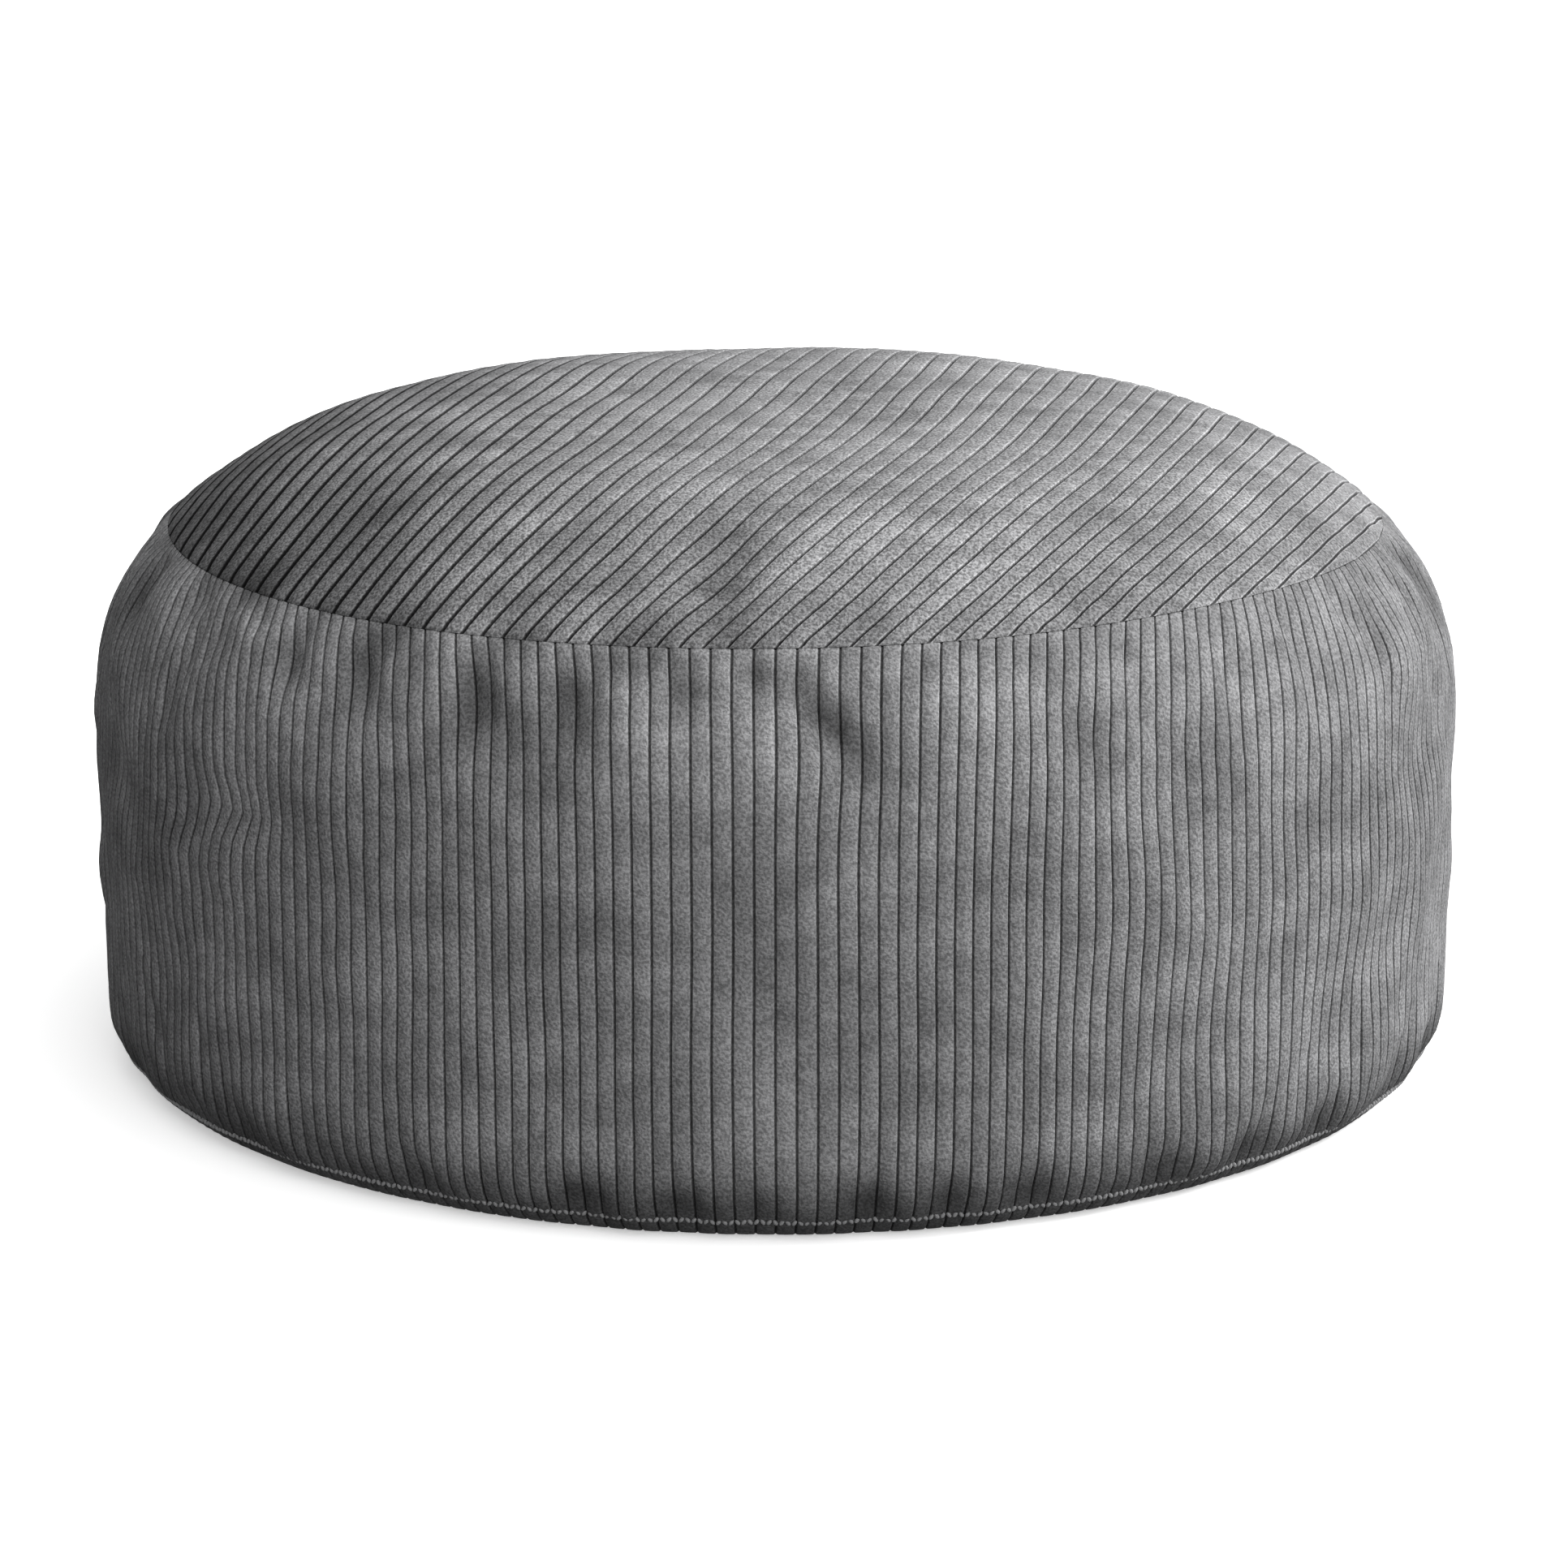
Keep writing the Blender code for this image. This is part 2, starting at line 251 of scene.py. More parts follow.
# Where the front is tautest, how far round that goes, and the heights between which the cloth
# comes free of the hem
TAUT_ANGLE = 3.0
TAUT_SPREAD = 42.0
STITCHED_FLAT = 0.004
FREE_HEIGHT = 0.022

# Places where the upright wales wander sideways:
# (angle, height, spread in degrees, spread in height, sideways shift in degrees)
WALE_WANDERS = (
    (-70.0, 0.150, 12.0, 0.022, 1.6),
    (-62.0, 0.110, 10.0, 0.020, -1.1),
    (-48.0, 0.155, 5.0, 0.009, 1.3),
    (-54.0, 0.128, 5.0, 0.010, -1.0),
    (-78.0, 0.205, 9.0, 0.018, -1.2),
    (62.0, 0.200, 8.0, 0.016, 1.8),
    (70.0, 0.160, 10.0, 0.018, -2.2),
    (60.0, 0.112, 11.0, 0.024, 1.3),
    (4.5, 0.195, 4.0, 0.020, 0.25),
    (34.0, 0.120, 12.0, 0.030, 0.5),
    (120.0, 0.140, 14.0, 0.026, 1.4),
    (-125.0, 0.150, 12.0, 0.022, -1.3),
    (175.0, 0.120, 14.0, 0.030, 1.0),
)

# Hollows in the top cover: (x, y, half length along y, half width along x, depth)
TOP_HOLLOWS = (
    (-0.021, -0.232, 0.036, 0.014, 0.0040),
    (-0.057, -0.224, 0.022, 0.012, 0.0020),
    (0.037, -0.250, 0.014, 0.010, 0.0018),
    (-0.180, -0.150, 0.030, 0.030, 0.0022),
    (0.150, -0.175, 0.030, 0.028, 0.0015),
    (0.050, 0.215, 0.032, 0.024, 0.0025),
    (-0.120, 0.190, 0.028, 0.030, 0.0022),
)

# Base cloth: how far it lies inside the side cloth, its rolled edge and its sides
BASE_INSET = 0.004
BASE_ROLL = 0.001
BASE_ROLL_STEPS = 6
BASE_SIDES = 360

# Hem stitches: their height, how far they lie off the cloth, their slant in degrees and the
# steps of the path that they follow
STITCH_HEIGHT = 0.0085
STITCH_LIFT = 0.0001
STITCH_SLANT = 48.0
STITCH_PATH_STEPS = 1440

# Pile: along a wale the brushed patches are 18 mm long, and the clouds are 45 mm across
WALE_PATCHES = (0.41, 1.0 / 0.018, 0.0)
CLOUD_SIZE = 0.045
TUFT_SIZE = 0.0012
# The x at which the painted shade of the grooves has widened in full, the stretch of x over which
# the painted shade and highlight of the grooves change, and the stretch up the cloth over which the
# painted shade at the hem fades out
SHADE_WIDEN_TO = 0.29
LEFT_TO_RIGHT = (-0.20, 0.20)
HEM_SHADE_RISE = (0.004, 0.050)
# Yarns of the base: 0.5 mm apart in the real cloth, drawn wider so that they show
YARN_PITCH = 0.0012

# Studio: soft light from above and in front, with little from below, behind or the left.
# Each fade has an axis, two places on it and the strengths there.
DOME_FADES = (
    ("X", (-0.82, 0.0), (0.0, 1.08)),
    ("Y", (-1.0, 1.0), (1.22, 0.40)),
    ("Z", (-0.45, 0.45), (0.20, 1.85)),
)
LAMP_STRENGTH = 3.4
LAMP_SPREAD = 25.0
LAMP_FROM = (0.800, 0.180, 0.560)
FLOOR_REACH = 30.0
FLOOR_GLOW = 0.40

# Camera, taken from the photograph: a long lens from a little above
PHOTO_PIXELS = 1932
FOCAL_PIXELS = 5761
SENSOR_WIDTH = 36.0
CAMERA_ELEVATION = 14.85
CAMERA_DISTANCE = 2.100
TARGET_HEIGHT = 0.1056
TARGET_LEFT_PIXELS = 10.5
TARGET_DOWN_PIXELS = 12.0
VIEW_REACH = 100.0

PIECES_COLLECTION = "Bean bag"


def linear(hex_colour):
    """An sRGB hex colour as linear red, green, blue and alpha."""
    channels = []
    for start in (1, 3, 5):
        value = int(hex_colour[start:start + 2], 16) / 255.0
        channels.append(value / 12.92 if value <= 0.04045 else ((value + 0.055) / 1.055) ** 2.4)
    return (*channels, 1.0)


class BeanBagSettings(PropertyGroup):
    """Sizes and colours of the bag that a user would change."""

    wale_depth: FloatProperty(
        name="Wale Depth",
        description="How deep the groove between two wales is cut",
        default=0.0013, min=0.0, max=0.004, unit="LENGTH")
    groove_width: FloatProperty(
        name="Groove Width",
        description="Width of the groove between two wales",
        default=0.0009, min=0.0003, max=0.004, unit="LENGTH")
    crest_rise: FloatProperty(
        name="Crest Rise",
        description="How far the middle of a wale stands above its shoulders",
        default=0.0003, min=0.0, max=0.003, unit="LENGTH")
    top_relief: FloatProperty(
        name="Top Relief",
        description="How much deeper the wales of the top are than those of the side",
        default=2.0, min=0.5, max=4.0, subtype="FACTOR")
    pile_colour: FloatVectorProperty(
        name="Pile Colour",
        description="Mean colour of the cut pile",
        default=linear("#747475")[:3], size=3, min=0.0, max=1.0, subtype="COLOR")
    nap_contrast: FloatProperty(
        name="Nap Contrast",
        description="How strongly the brushed patches differ from each other",
        default=0.55, min=0.0, max=1.0, subtype="FACTOR")
    stitch_length: FloatProperty(
        name="Stitch Length",
        description="Length of one stitch of the hem thread",
        default=0.0028, min=0.001, max=0.01, unit="LENGTH")
    stitch_spacing: FloatProperty(
        name="Stitch Spacing",
        description="Distance from one hem stitch to the next",
        default=0.0025, min=0.0010, max=0.02, unit="LENGTH")
    thread_thickness: FloatProperty(
        name="Thread Thickness",
        description="Thickness of the hem thread",
        default=0.0017, min=0.0005, max=0.005, unit="LENGTH")
    seed: IntProperty(
        name="Seed",
        description="Seed for the soft unevenness of the filling",
        default=7, min=0)


# Helpers for nodes and objects


def add_node(tree, kind, inputs=None, **settings):
    """Adds a node with its settings. An input, by name or number, is a value, a socket or a node."""
    node = tree.nodes.new(kind)
    for key, value in settings.items():
        setattr(node, key, value)
    for key, value in (inputs or {}).items():
        if isinstance(value, bpy.types.Node):
            value = value.outputs[0]
        if isinstance(value, bpy.types.NodeSocket):
            tree.links.new(value, node.inputs[key])
        else:
            node.inputs[key].default_value = value
    return node


def calculate(tree, operation, *values):
    """A sum or product, or another plain calculation, of numbers, sockets and nodes."""
    return add_node(tree, "ShaderNodeMath", dict(enumerate(values)), operation=operation)


def map_range(tree, value, given, wanted, **settings):
    """Takes a value from one range of numbers to another."""
    inputs = {"Value": value, "From Min": given[0], "From Max": given[1],
              "To Min": wanted[0], "To Max": wanted[1]}
    return add_node(tree, "ShaderNodeMapRange", inputs, **settings)


def noise(tree, place, size, detail, roughness=0.5):
    """Smooth noise in patches of a size, in the units of its place."""
    return add_node(tree, "ShaderNodeTexNoise",
                    {"Vector": place, "Scale": 1.0 / size, "Detail": detail,
                     "Roughness": roughness})


def new_tree(name, numbers, material):
    """A Geometry Nodes tree with its named inputs, and the node that gives them."""
    tree = bpy.data.node_groups.new(name, "GeometryNodeTree")
    kinds = {"Geometry": "Geometry", **dict.fromkeys(numbers, "Float"), material: "Material"}
    for label, kind in kinds.items():
        tree.interface.new_socket(label, in_out="INPUT", socket_type=f"NodeSocket{kind}")
    tree.interface.new_socket("Geometry", in_out="OUTPUT", socket_type="NodeSocketGeometry")
    return tree, add_node(tree, "NodeGroupInput").outputs


def finish_tree(tree, geometry, material):
    """Ends a tree with real, smooth-shaded geometry that wears its material."""
    real = add_node(tree, "GeometryNodeRealizeInstances", {"Geometry": geometry})
    smoothed = add_node(tree, "GeometryNodeSetShadeSmooth", {"Geometry": real})
    dressed = add_node(tree, "GeometryNodeSetMaterial", {"Geometry": smoothed, "Material": material})
    add_node(tree, "NodeGroupOutput", {"Geometry": dressed})
    return tree


def settle(made, tree, values):
    """Runs a tree on an object, with its inputs given by name, and keeps the plain result."""
    modifier = made.modifiers.new(tree.name, "NODES")
    modifier.node_group = tree
    identifiers = {item.name: item.identifier for item in tree.interface.items_tree
                   if item.in_out == "INPUT"}
    for name, value in values.items():
        modifier[identifiers[name]] = value
    graph = bpy.context.evaluated_depsgraph_get()
    result = bpy.data.meshes.new_from_object(
        made.evaluated_get(graph), preserve_all_data_layers=True, depsgraph=graph)
    old = made.data
    made.modifiers.clear()
    made.data = result
    result.name = made.name
    bpy.data.meshes.remove(old)


def piece(name, mesh):
    """An object for a mesh, in the collection of the bag's pieces."""
    pieces = bpy.data.collections.get(PIECES_COLLECTION)
    if pieces is None:
        pieces = bpy.data.collections.new(PIECES_COLLECTION)
        bpy.context.scene.collection.children.link(pieces)
    made = bpy.data.objects.new(name, mesh)
    pieces.objects.link(made)
    return made


def cloth_piece(name, points, faces, loop_uv, attributes, material):
    """A smooth-shaded piece with its cloth UV map and its named point attributes."""
    mesh = bpy.data.meshes.new(name)
    mesh.from_pydata(points.tolist(), [], faces)
    mesh.materials.append(material)
    cloth = mesh.uv_layers.new(name="cloth")
    cloth.data.foreach_set("uv", np.asarray(loop_uv, dtype=np.float32).ravel())
    for label, values in attributes.items():
        attribute = mesh.attributes.new(label, "FLOAT", "POINT")
        attribute.data.foreach_set("value", np.asarray(values, dtype=np.float32))
    # The way the smooth cloth faces, kept from before the wales are pressed in; the material paints
    # shade from it on slopes that face away from the light
    facing = np.empty(3 * len(mesh.vertices), dtype=np.float32)
    mesh.vertex_normals.foreach_get("vector", facing)
    attribute = mesh.attributes.new("cloth_facing", "FLOAT_VECTOR", "POINT")
    attribute.data.foreach_set("vector", facing)
    mesh.shade_smooth()
    return piece(name, mesh)


def grid_faces(rows, columns):
    """Quads of a grid of points, row by row, closed round its columns."""
    faces = []
    for row in range(rows - 1):
        for column in range(columns):
            after = (column + 1) % columns
            faces.append((row * columns + column, row * columns + after,
                          (row + 1) * columns + after, (row + 1) * columns + column))
    return faces


def end_faces(centre, last_ring, columns):
    """Triangles that close the first and the last ring of a grid onto two centre points."""
    faces = []
    for column in range(columns):
        after = (column + 1) % columns
        faces.append((centre, after, column))
        faces.append((centre + 1, last_ring + column, last_ring + after))
    return faces


# Helpers for shapes


def bell(distance, half_width):
    return np.exp(-((distance / half_width) ** 2))


def smooth(low, high, value):
    """Zero below low, one above high, and an even slope between."""
    share = np.clip((value - low) / (high - low), 0.0, 1.0)
    return share * share * (3.0 - 2.0 * share)


def turn_between(angle, centre):
    return (angle - centre + 180.0) % 360.0 - 180.0


def on_circle(radius, angle, height):
    """Points at a radius, an angle from the front and a height."""
    turn = np.radians(angle)
    return np.stack(np.broadcast_arrays(radius * np.sin(turn), -radius * np.cos(turn), height),
                    axis=-1)


def soft_unevenness(angle, height, size, seed, terms=14):
    """A smooth random field over the side, about one deep, that closes on itself."""
    random = np.random.default_rng(seed)
    field = np.zeros(np.broadcast(angle, height).shape)
    around = 2.0 * math.pi * WIDEST_RADIUS / size
    for _ in range(terms):
        turns = max(1, int(round(around * random.uniform(0.4, 1.1))))
        rise = random.uniform(-1.0, 1.0) * 2.0 * math.pi / size
        phase = random.uniform(0.0, 2.0 * math.pi)
        field += np.sin(turns * np.radians(angle) + rise * height + phase)
    return field / math.sqrt(terms / 2.0)


def plan_unevenness(x, y, size, seed, terms=14):
    """The same kind of field over the plan of the top."""
    random = np.random.default_rng(seed)
    field = np.zeros(np.broadcast(x, y).shape)
    for _ in range(terms):
        heading = random.uniform(0.0, 2.0 * math.pi)
        pitch = 2.0 * math.pi / (size * random.uniform(0.8, 2.2))
        phase = random.uniform(0.0, 2.0 * math.pi)
        field += np.sin(pitch * (x * math.cos(heading) + y * math.sin(heading)) + phase)
    return field / math.sqrt(terms / 2.0)


def seam_wave(angle):
    """How far the top seam lies above its mean height at an angle."""
    return sum(rise * bell(turn_between(angle, centre), spread)
               for centre, rise, spread in SEAM_WAVES)


def seam_shade(angle, distance, reach):
    """How much painted shade lies beside the top seam, in patches, most at the left of the front."""
    field = soft_unevenness(angle, 0.0, SEAM_PATCH_SIZE, SEAM_PATCH_SEED)
    patches = np.clip(0.55 + 0.45 * field, 0.0, 1.0)
    near = bell(turn_between(angle, SEAM_SHADE_ANGLE), SEAM_SHADE_SPREAD)
    share = SEAM_SHADE_LEAST + (1.0 - SEAM_SHADE_LEAST) * near
    return SEAM_SHADE * share * patches * bell(distance, reach)


def wall_radius(height):
    """Radius of the smooth side cloth at a height."""
    tuck = CORNER_TUCK * np.clip(1.0 - height / CORNER_HEIGHT, 0.0, 1.0) ** CORNER_POWER
    climb = np.clip((height - SHOULDER_HEIGHT) / (SEAM_HEIGHT - SHOULDER_HEIGHT), 0.0, 1.0)
    return WIDEST_RADIUS - tuck - (WIDEST_RADIUS - SEAM_RADIUS) * climb ** SHOULDER_POWER


def wall_section(rows):
    """Heights, radii and outward directions at even steps along the side cloth."""
    heights = np.linspace(HEM_EDGE, SEAM_HEIGHT - CLEARANCE, SECTION_STEPS)
    # The lowest few millimetres turn in to meet the base cloth
    turned_in = HEM_TURN * (1.0 - smooth(0.0, 1.0, (heights - HEM_EDGE) / HEM_TURN_HEIGHT))
    radii = wall_radius(heights) - turned_in
    lengths = np.concatenate([[0.0], np.cumsum(np.hypot(np.diff(heights), np.diff(radii)))])
    steps = np.linspace(0.0, 1.0, rows)
    # Rows crowd towards the top seam and the hem, where the folds are
    steps = steps - SIDE_CROWDING * np.sin(2.0 * math.pi * steps)
    wanted = steps * lengths[-1]
    outward = np.gradient(heights, lengths)
    upward = -np.gradient(radii, lengths)
    return (wanted, *(np.interp(wanted, lengths, part)
                      for part in (heights, radii, outward, upward)))


# The filling, which draws the cloth into gathers


def coarse_bag(seed):
    """Rings of points over the side and the top of the bag, a little uneven."""
    heights = np.linspace(0.0, SEAM_HEIGHT, FILL_SIDE_RINGS)
    shares = np.linspace(1.0, 0.0, FILL_TOP_RINGS + 2)[1:-1]
    levels = SEAM_HEIGHT + CROWN * (1.0 - shares ** CROWN_POWER)
    radius = np.concatenate([wall_radius(heights), SEAM_RADIUS * shares])[:, None]
    height = np.concatenate([heights, levels])[:, None]
    angle = 360.0 * np.arange(FILL_COLUMNS)[None, :] / FILL_COLUMNS
    bumps = FILL_BUMPS * soft_unevenness(angle, height + radius, FILL_BUMP_SIZE, seed + 5)
    bumps[0] = 0.0
    bumps[FILL_SIDE_RINGS - 1] = 0.0
    return on_circle(radius + bumps, angle, height)


@functools.lru_cache(maxsize=1)
def filled_bag(seed):
    """How far the filling moves the cloth of a bag that is held at its hem and its top seam.

    The panels are cut a little full, so that the pressure of the filling draws them into
    gathers beside the seams. The result is a grid of outward, sideways and upward moves:
    its first rings climb the side, and the rest cross the top.
    """
    rings = coarse_bag(seed)
    count, columns, _ = rings.shape
    flat = rings.reshape(-1, 3)
    centre = len(flat)
    ends = [[0.0, 0.0, 0.0], [0.0, 0.0, BAG_HEIGHT]]
    faces = grid_faces(count, columns) + end_faces(centre, (count - 1) * columns, columns)
    mesh = bpy.data.meshes.new("filled_bag")
    mesh.from_pydata(np.vstack([flat, ends]).tolist(), [], faces)
    made = bpy.data.objects.new("filled_bag", mesh)
    scene = bpy.context.scene
    scene.collection.objects.link(made)
    seams = made.vertex_groups.new(name="seams")
    top_seam = (FILL_SIDE_RINGS - 1) * columns
    seams.add([*range(columns), *range(top_seam, top_seam + columns), centre], 1.0, "REPLACE")
    cloth = made.modifiers.new("Cloth", "CLOTH")
    for name, value in FILLED_CLOTH.items():
        setattr(cloth.settings, name, value)
    cloth.settings.effector_weights.gravity = 0.0
    cloth.settings.vertex_group_mass = "seams"
    cloth.collision_settings.use_collision = False
    for step in range(1, FILL_FRAMES + 1):
        scene.frame_set(step)
    painted_hem_shade = made.evaluated_get(bpy.context.evaluated_depsgraph_get()).to_mesh()
    moved = np.empty(3 * len(painted_hem_shade.vertices))
    painted_hem_shade.vertices.foreach_get("co", moved)
    shift = moved.reshape(-1, 3)[:centre].reshape(rings.shape) - rings
    bpy.data.objects.remove(made)
    bpy.data.meshes.remove(mesh)
    scene.frame_set(1)
    turn = np.radians(360.0 * np.arange(columns) / columns)[None, :]
    outward = shift[:, :, 0] * np.sin(turn) - shift[:, :, 1] * np.cos(turn)
    sideways = shift[:, :, 0] * np.cos(turn) + shift[:, :, 1] * np.sin(turn)
    moves = np.stack([outward, sideways, shift[:, :, 2]], axis=-1)
    # Only the gathers are kept: the even swelling is already in the shape of the bag
    moves -= moves.mean(axis=1, keepdims=True)
    return np.clip(moves, -FILL_LIMIT, FILL_LIMIT)


def sample_moves(moves, ring, angle):
    """The moves of the filled bag at fractional rings and at angles, blended from four points."""
    count, columns, _ = moves.shape
    ring = np.clip(np.broadcast_to(ring, np.broadcast(ring, angle).shape), 0.0, count - 1.001)
    column = (np.broadcast_to(angle, ring.shape) % 360.0) * columns / 360.0
    low = np.floor(ring).astype(int)
    left = np.floor(column).astype(int) % columns
    right = (left + 1) % columns
    up = smooth(0.0, 1.0, ring - low)[..., None]
    across = (column - np.floor(column))[..., None]
    lower = moves[low, left] * (1.0 - across) + moves[low, right] * across
    upper = moves[low + 1, left] * (1.0 - across) + moves[low + 1, right] * across
    return lower * (1.0 - up) + upper * up


# The side cloth


def side_folds(angle, height):
    """Depth of the folds, their sideways pull on the wales and their painted shade, which turns to
    painted light on a swelling.
    """
    depth = np.zeros(np.broadcast(angle, height).shape)
    pull = np.zeros_like(depth)
    painted_shading = np.zeros_like(depth)
    for start, upper, lower, half_width, deep, lean in SIDE_FOLDS:
        drop = (upper - height) / (upper - lower)
        width = half_width * (0.9 + 0.4 * np.clip(drop, 0.0, 1.5))
        turn = turn_between(angle, start + lean * drop)
        along = smooth(-0.5, 0.4, drop) * (1.0 - smooth(0.5, 1.8, drop))
        depth += deep * along * bell(turn, width)
        # Painted shade in the fold, and painted light on a swelling, whose depth is below zero
        painted_shading += deep / DEEP_FOLD * along * bell(turn, 1.25 * width)
        if deep > 0.0:
            # A fold also has raised lips, and draws the wales beside it in
            depth -= 0.10 * deep * along * bell(np.abs(turn) - 2.0 * width, width)
            pull -= 0.03 * turn * bell(turn, 2.0 * width) * along
    for centre, half_width, deep in HEM_FOLDS:
        turn = turn_between(angle, centre)
        lips = bell(np.abs(turn) - 1.9 * half_width, half_width)
        along = bell(height - HEM_HEIGHT, HEM_REACH)
        depth += deep * along * (bell(turn, half_width) - 0.4 * lips)
        # Painted shade in the gathers above the hem
        painted_shading += deep / DEEP_FOLD * along * bell(turn, 1.25 * half_width)
    return depth, pull, painted_shading


def side_gathers(moves, height, angle):
    """How the filled bag moves a point of the side cloth: outwards, sideways and up."""
    slack = 1.0 - bell(turn_between(angle, TAUT_ANGLE), TAUT_SPREAD)
    share = FRONT_SHARE + (SIDES_SHARE - FRONT_SHARE) * slack
    share = share * smooth(STITCHED_FLAT, FREE_HEIGHT, height)
    rings = height / SEAM_HEIGHT * (FILL_SIDE_RINGS - 1.0)
    return sample_moves(moves, rings, angle) * share[..., None]


def side_grid(seed, moves):
    """Points, cloth places, wale phases and painted shading of the smooth side cloth."""
    wale = np.array([turn + step for turn in range(WALES_ROUND_SIDE) for step in WALE_STEPS])
    length, height, radius, outward, upward = (part[:, None] for part in wall_section(SIDE_ROWS))
    below_seam = SEAM_HEIGHT - height
    angle = 360.0 * wale[None, :] / WALES_ROUND_SIDE
    shoulder = (WIDEST_RADIUS / radius - 1.0) / (WIDEST_RADIUS / SEAM_RADIUS - 1.0)
    spread = SHOULDER_SPREAD * np.sin(2.0 * np.radians(angle)) * shoulder
    from_front = turn_between(angle, 0.0)
    stretch = FRONT_STRETCH * from_front * bell(from_front, FRONT_STRETCH_REACH)
    place = angle + spread * smooth(*SPREAD_HEIGHTS, height) + stretch
    depth, pull, painted_shading = side_folds(place, height)
    hem_share = smooth(0.0, HELD_REACH, height - HEM_EDGE)
    free = smooth(0.0, HELD_REACH, below_seam) * hem_share
    wander = SIDE_WANDER * soft_unevenness(angle, height, SIDE_WANDER_SIZE, seed + 1)
    for centre, level, around, reach, shift in WALE_WANDERS:
        wander += shift * bell(turn_between(angle, centre), around) * bell(height - level, reach)
    turn = place + (pull + wander) * free
    # Away from the folds, the beads behind the cloth leave it faintly lumpy
    lumps = SIDE_LUMPS * soft_unevenness(angle, height, SIDE_LUMP_SIZE, seed) * free
    seam_dip = SEAM_DIP * np.exp(-below_seam / SEAM_DIP_REACH)
    inward = FOLD_RELIEF * depth * smooth(-0.001, 0.006, below_seam) - lumps + seam_dip
    gathers = side_gathers(moves, height, turn)
    turn = turn + np.degrees(gathers[..., 1] / radius)
    reach = radius - inward * outward + gathers[..., 0]
    level = height - inward * upward + seam_wave(place) * (height / SEAM_HEIGHT)
    points = on_circle(reach, turn, level + gathers[..., 2] * hem_share)
    # Painted shade in the folds and beside the top seam
    painted_shading = np.clip(painted_shading + seam_shade(place, below_seam, SEAM_SHADE_DOWN), *PAINTED_SHADING_LIMITS)
    return points, length.ravel(), wale, painted_shading


# The top cloth


def dome_share(x, y):
    """Height of the plain dome at a point of the plan, from 0 at the rim to 1 in the middle."""
    return 1.0 - np.minimum(np.hypot(x, y) / SEAM_RADIUS, 1.0) ** CROWN_POWER


def top_place(x, y):
    """Distance across the wales of the top at a point of the plan."""
    inside = 1.0 - np.minimum(np.hypot(x, y) / SEAM_RADIUS, 1.0) ** BOW_POWER
    return x - TOP_LEAN * y - (TOP_BOW + TOP_FAN * x - TOP_TWIST * y) * inside


def on_wale(place, y):
    """The x at which the wale at a place passes a given y, found by halving."""
    half = np.sqrt(np.maximum(SEAM_RADIUS ** 2 - y ** 2, 0.0))
    low, high = -half, half.copy()
    for _ in range(HALVINGS):
        middle = (low + high) / 2.0
        below = top_place(middle, y) < place
        low = np.where(below, middle, low)
        high = np.where(below, high, middle)
    return (low + high) / 2.0


def hollow_depth(x, y):
    """Depth of the hollows in the top cover at a point of the plan."""
    return sum(deep * bell(x - centre_x, half_width) * bell(y - centre_y, half_length)
               for centre_x, centre_y, half_length, half_width, deep in TOP_HOLLOWS)


def dome_height(x, y, seed, moves):
    """Height of the smooth top cover at a point of the plan."""
    share = np.minimum(np.hypot(x, y) / SEAM_RADIUS, 1.0)
    angle = np.degrees(np.arctan2(x, -y))
    inside = dome_share(x, y)
    height = SEAM_HEIGHT + seam_wave(angle) * share ** 2 + CROWN * inside
    from_rim = SEAM_RADIUS * (1.0 - share)
    soft = np.minimum(1.0, 3.0 * inside)
    height = height - FOLD_RELIEF * soft * hollow_depth(x, y)
    height += TOP_LUMPS * soft * plan_unevenness(x, y, TOP_LUMP_SIZE, seed)
    # The seam draws the edge into short ripples that die out inwards
    ripple = RIPPLE * soft_unevenness(angle, 0.0, RIPPLE_SIZE, seed + 3)
    height += ripple * np.exp(-from_rim / RIPPLE_REACH) * smooth(0.0, 0.004, from_rim)
    ring = FILL_SIDE_RINGS - 1.0 + (1.0 - share) * (FILL_TOP_RINGS + 1.0)
    height += TOP_SHARE * sample_moves(moves, ring, angle)[..., 2]
    return height + RIM_SWELL * smooth(0.0, 0.003, from_rim) * np.exp(-from_rim / RIM_SWELL_REACH)


def top_grid(seed, moves):
    """Points, cloth places and wale phases of the smooth top cover."""
    wale = np.array([turn + step for turn in range(WALES_ACROSS_TOP) for step in WALE_STEPS])[1:]
    place = TOP_REACH * (2.0 * wale / WALES_ACROSS_TOP - 1.0)
    # On the rim the wales do not bow, so each meets it where a leaning straight line would
    lean = math.atan(TOP_LEAN)
    start = np.arcsin(place / TOP_REACH) - lean
    stop = math.pi - np.arcsin(place / TOP_REACH) - lean
    share = np.linspace(0.0, 1.0, TOP_ROWS)
    along = share - TOP_CROWDING * np.sin(2.0 * math.pi * share)
    start_y = -SEAM_RADIUS * np.cos(start)
    stop_y = -SEAM_RADIUS * np.cos(stop)
    y = start_y[:, None] + (stop_y - start_y)[:, None] * along[None, :]
    x = on_wale(place[:, None], y)
    # The outermost lines lie on the rim itself, so that the cover ends in a clean edge
    start[0] += 2.0 * math.pi
    for edge in (0, -1):
        turn = start[edge] + (stop[edge] - start[edge]) * share
        x[edge] = SEAM_RADIUS * np.sin(turn)
        y[edge] = -SEAM_RADIUS * np.cos(turn)
    points = np.stack([x, y, dome_height(x, y, seed, moves)], axis=-1)
    steps = np.hypot(np.diff(x, axis=1), np.diff(y, axis=1))
    length = np.concatenate([np.zeros((len(wale), 1)), np.cumsum(steps, axis=1)], axis=1)
    return points, length + start_y[:, None] + SEAM_RADIUS, wale


# Geometry Nodes trees


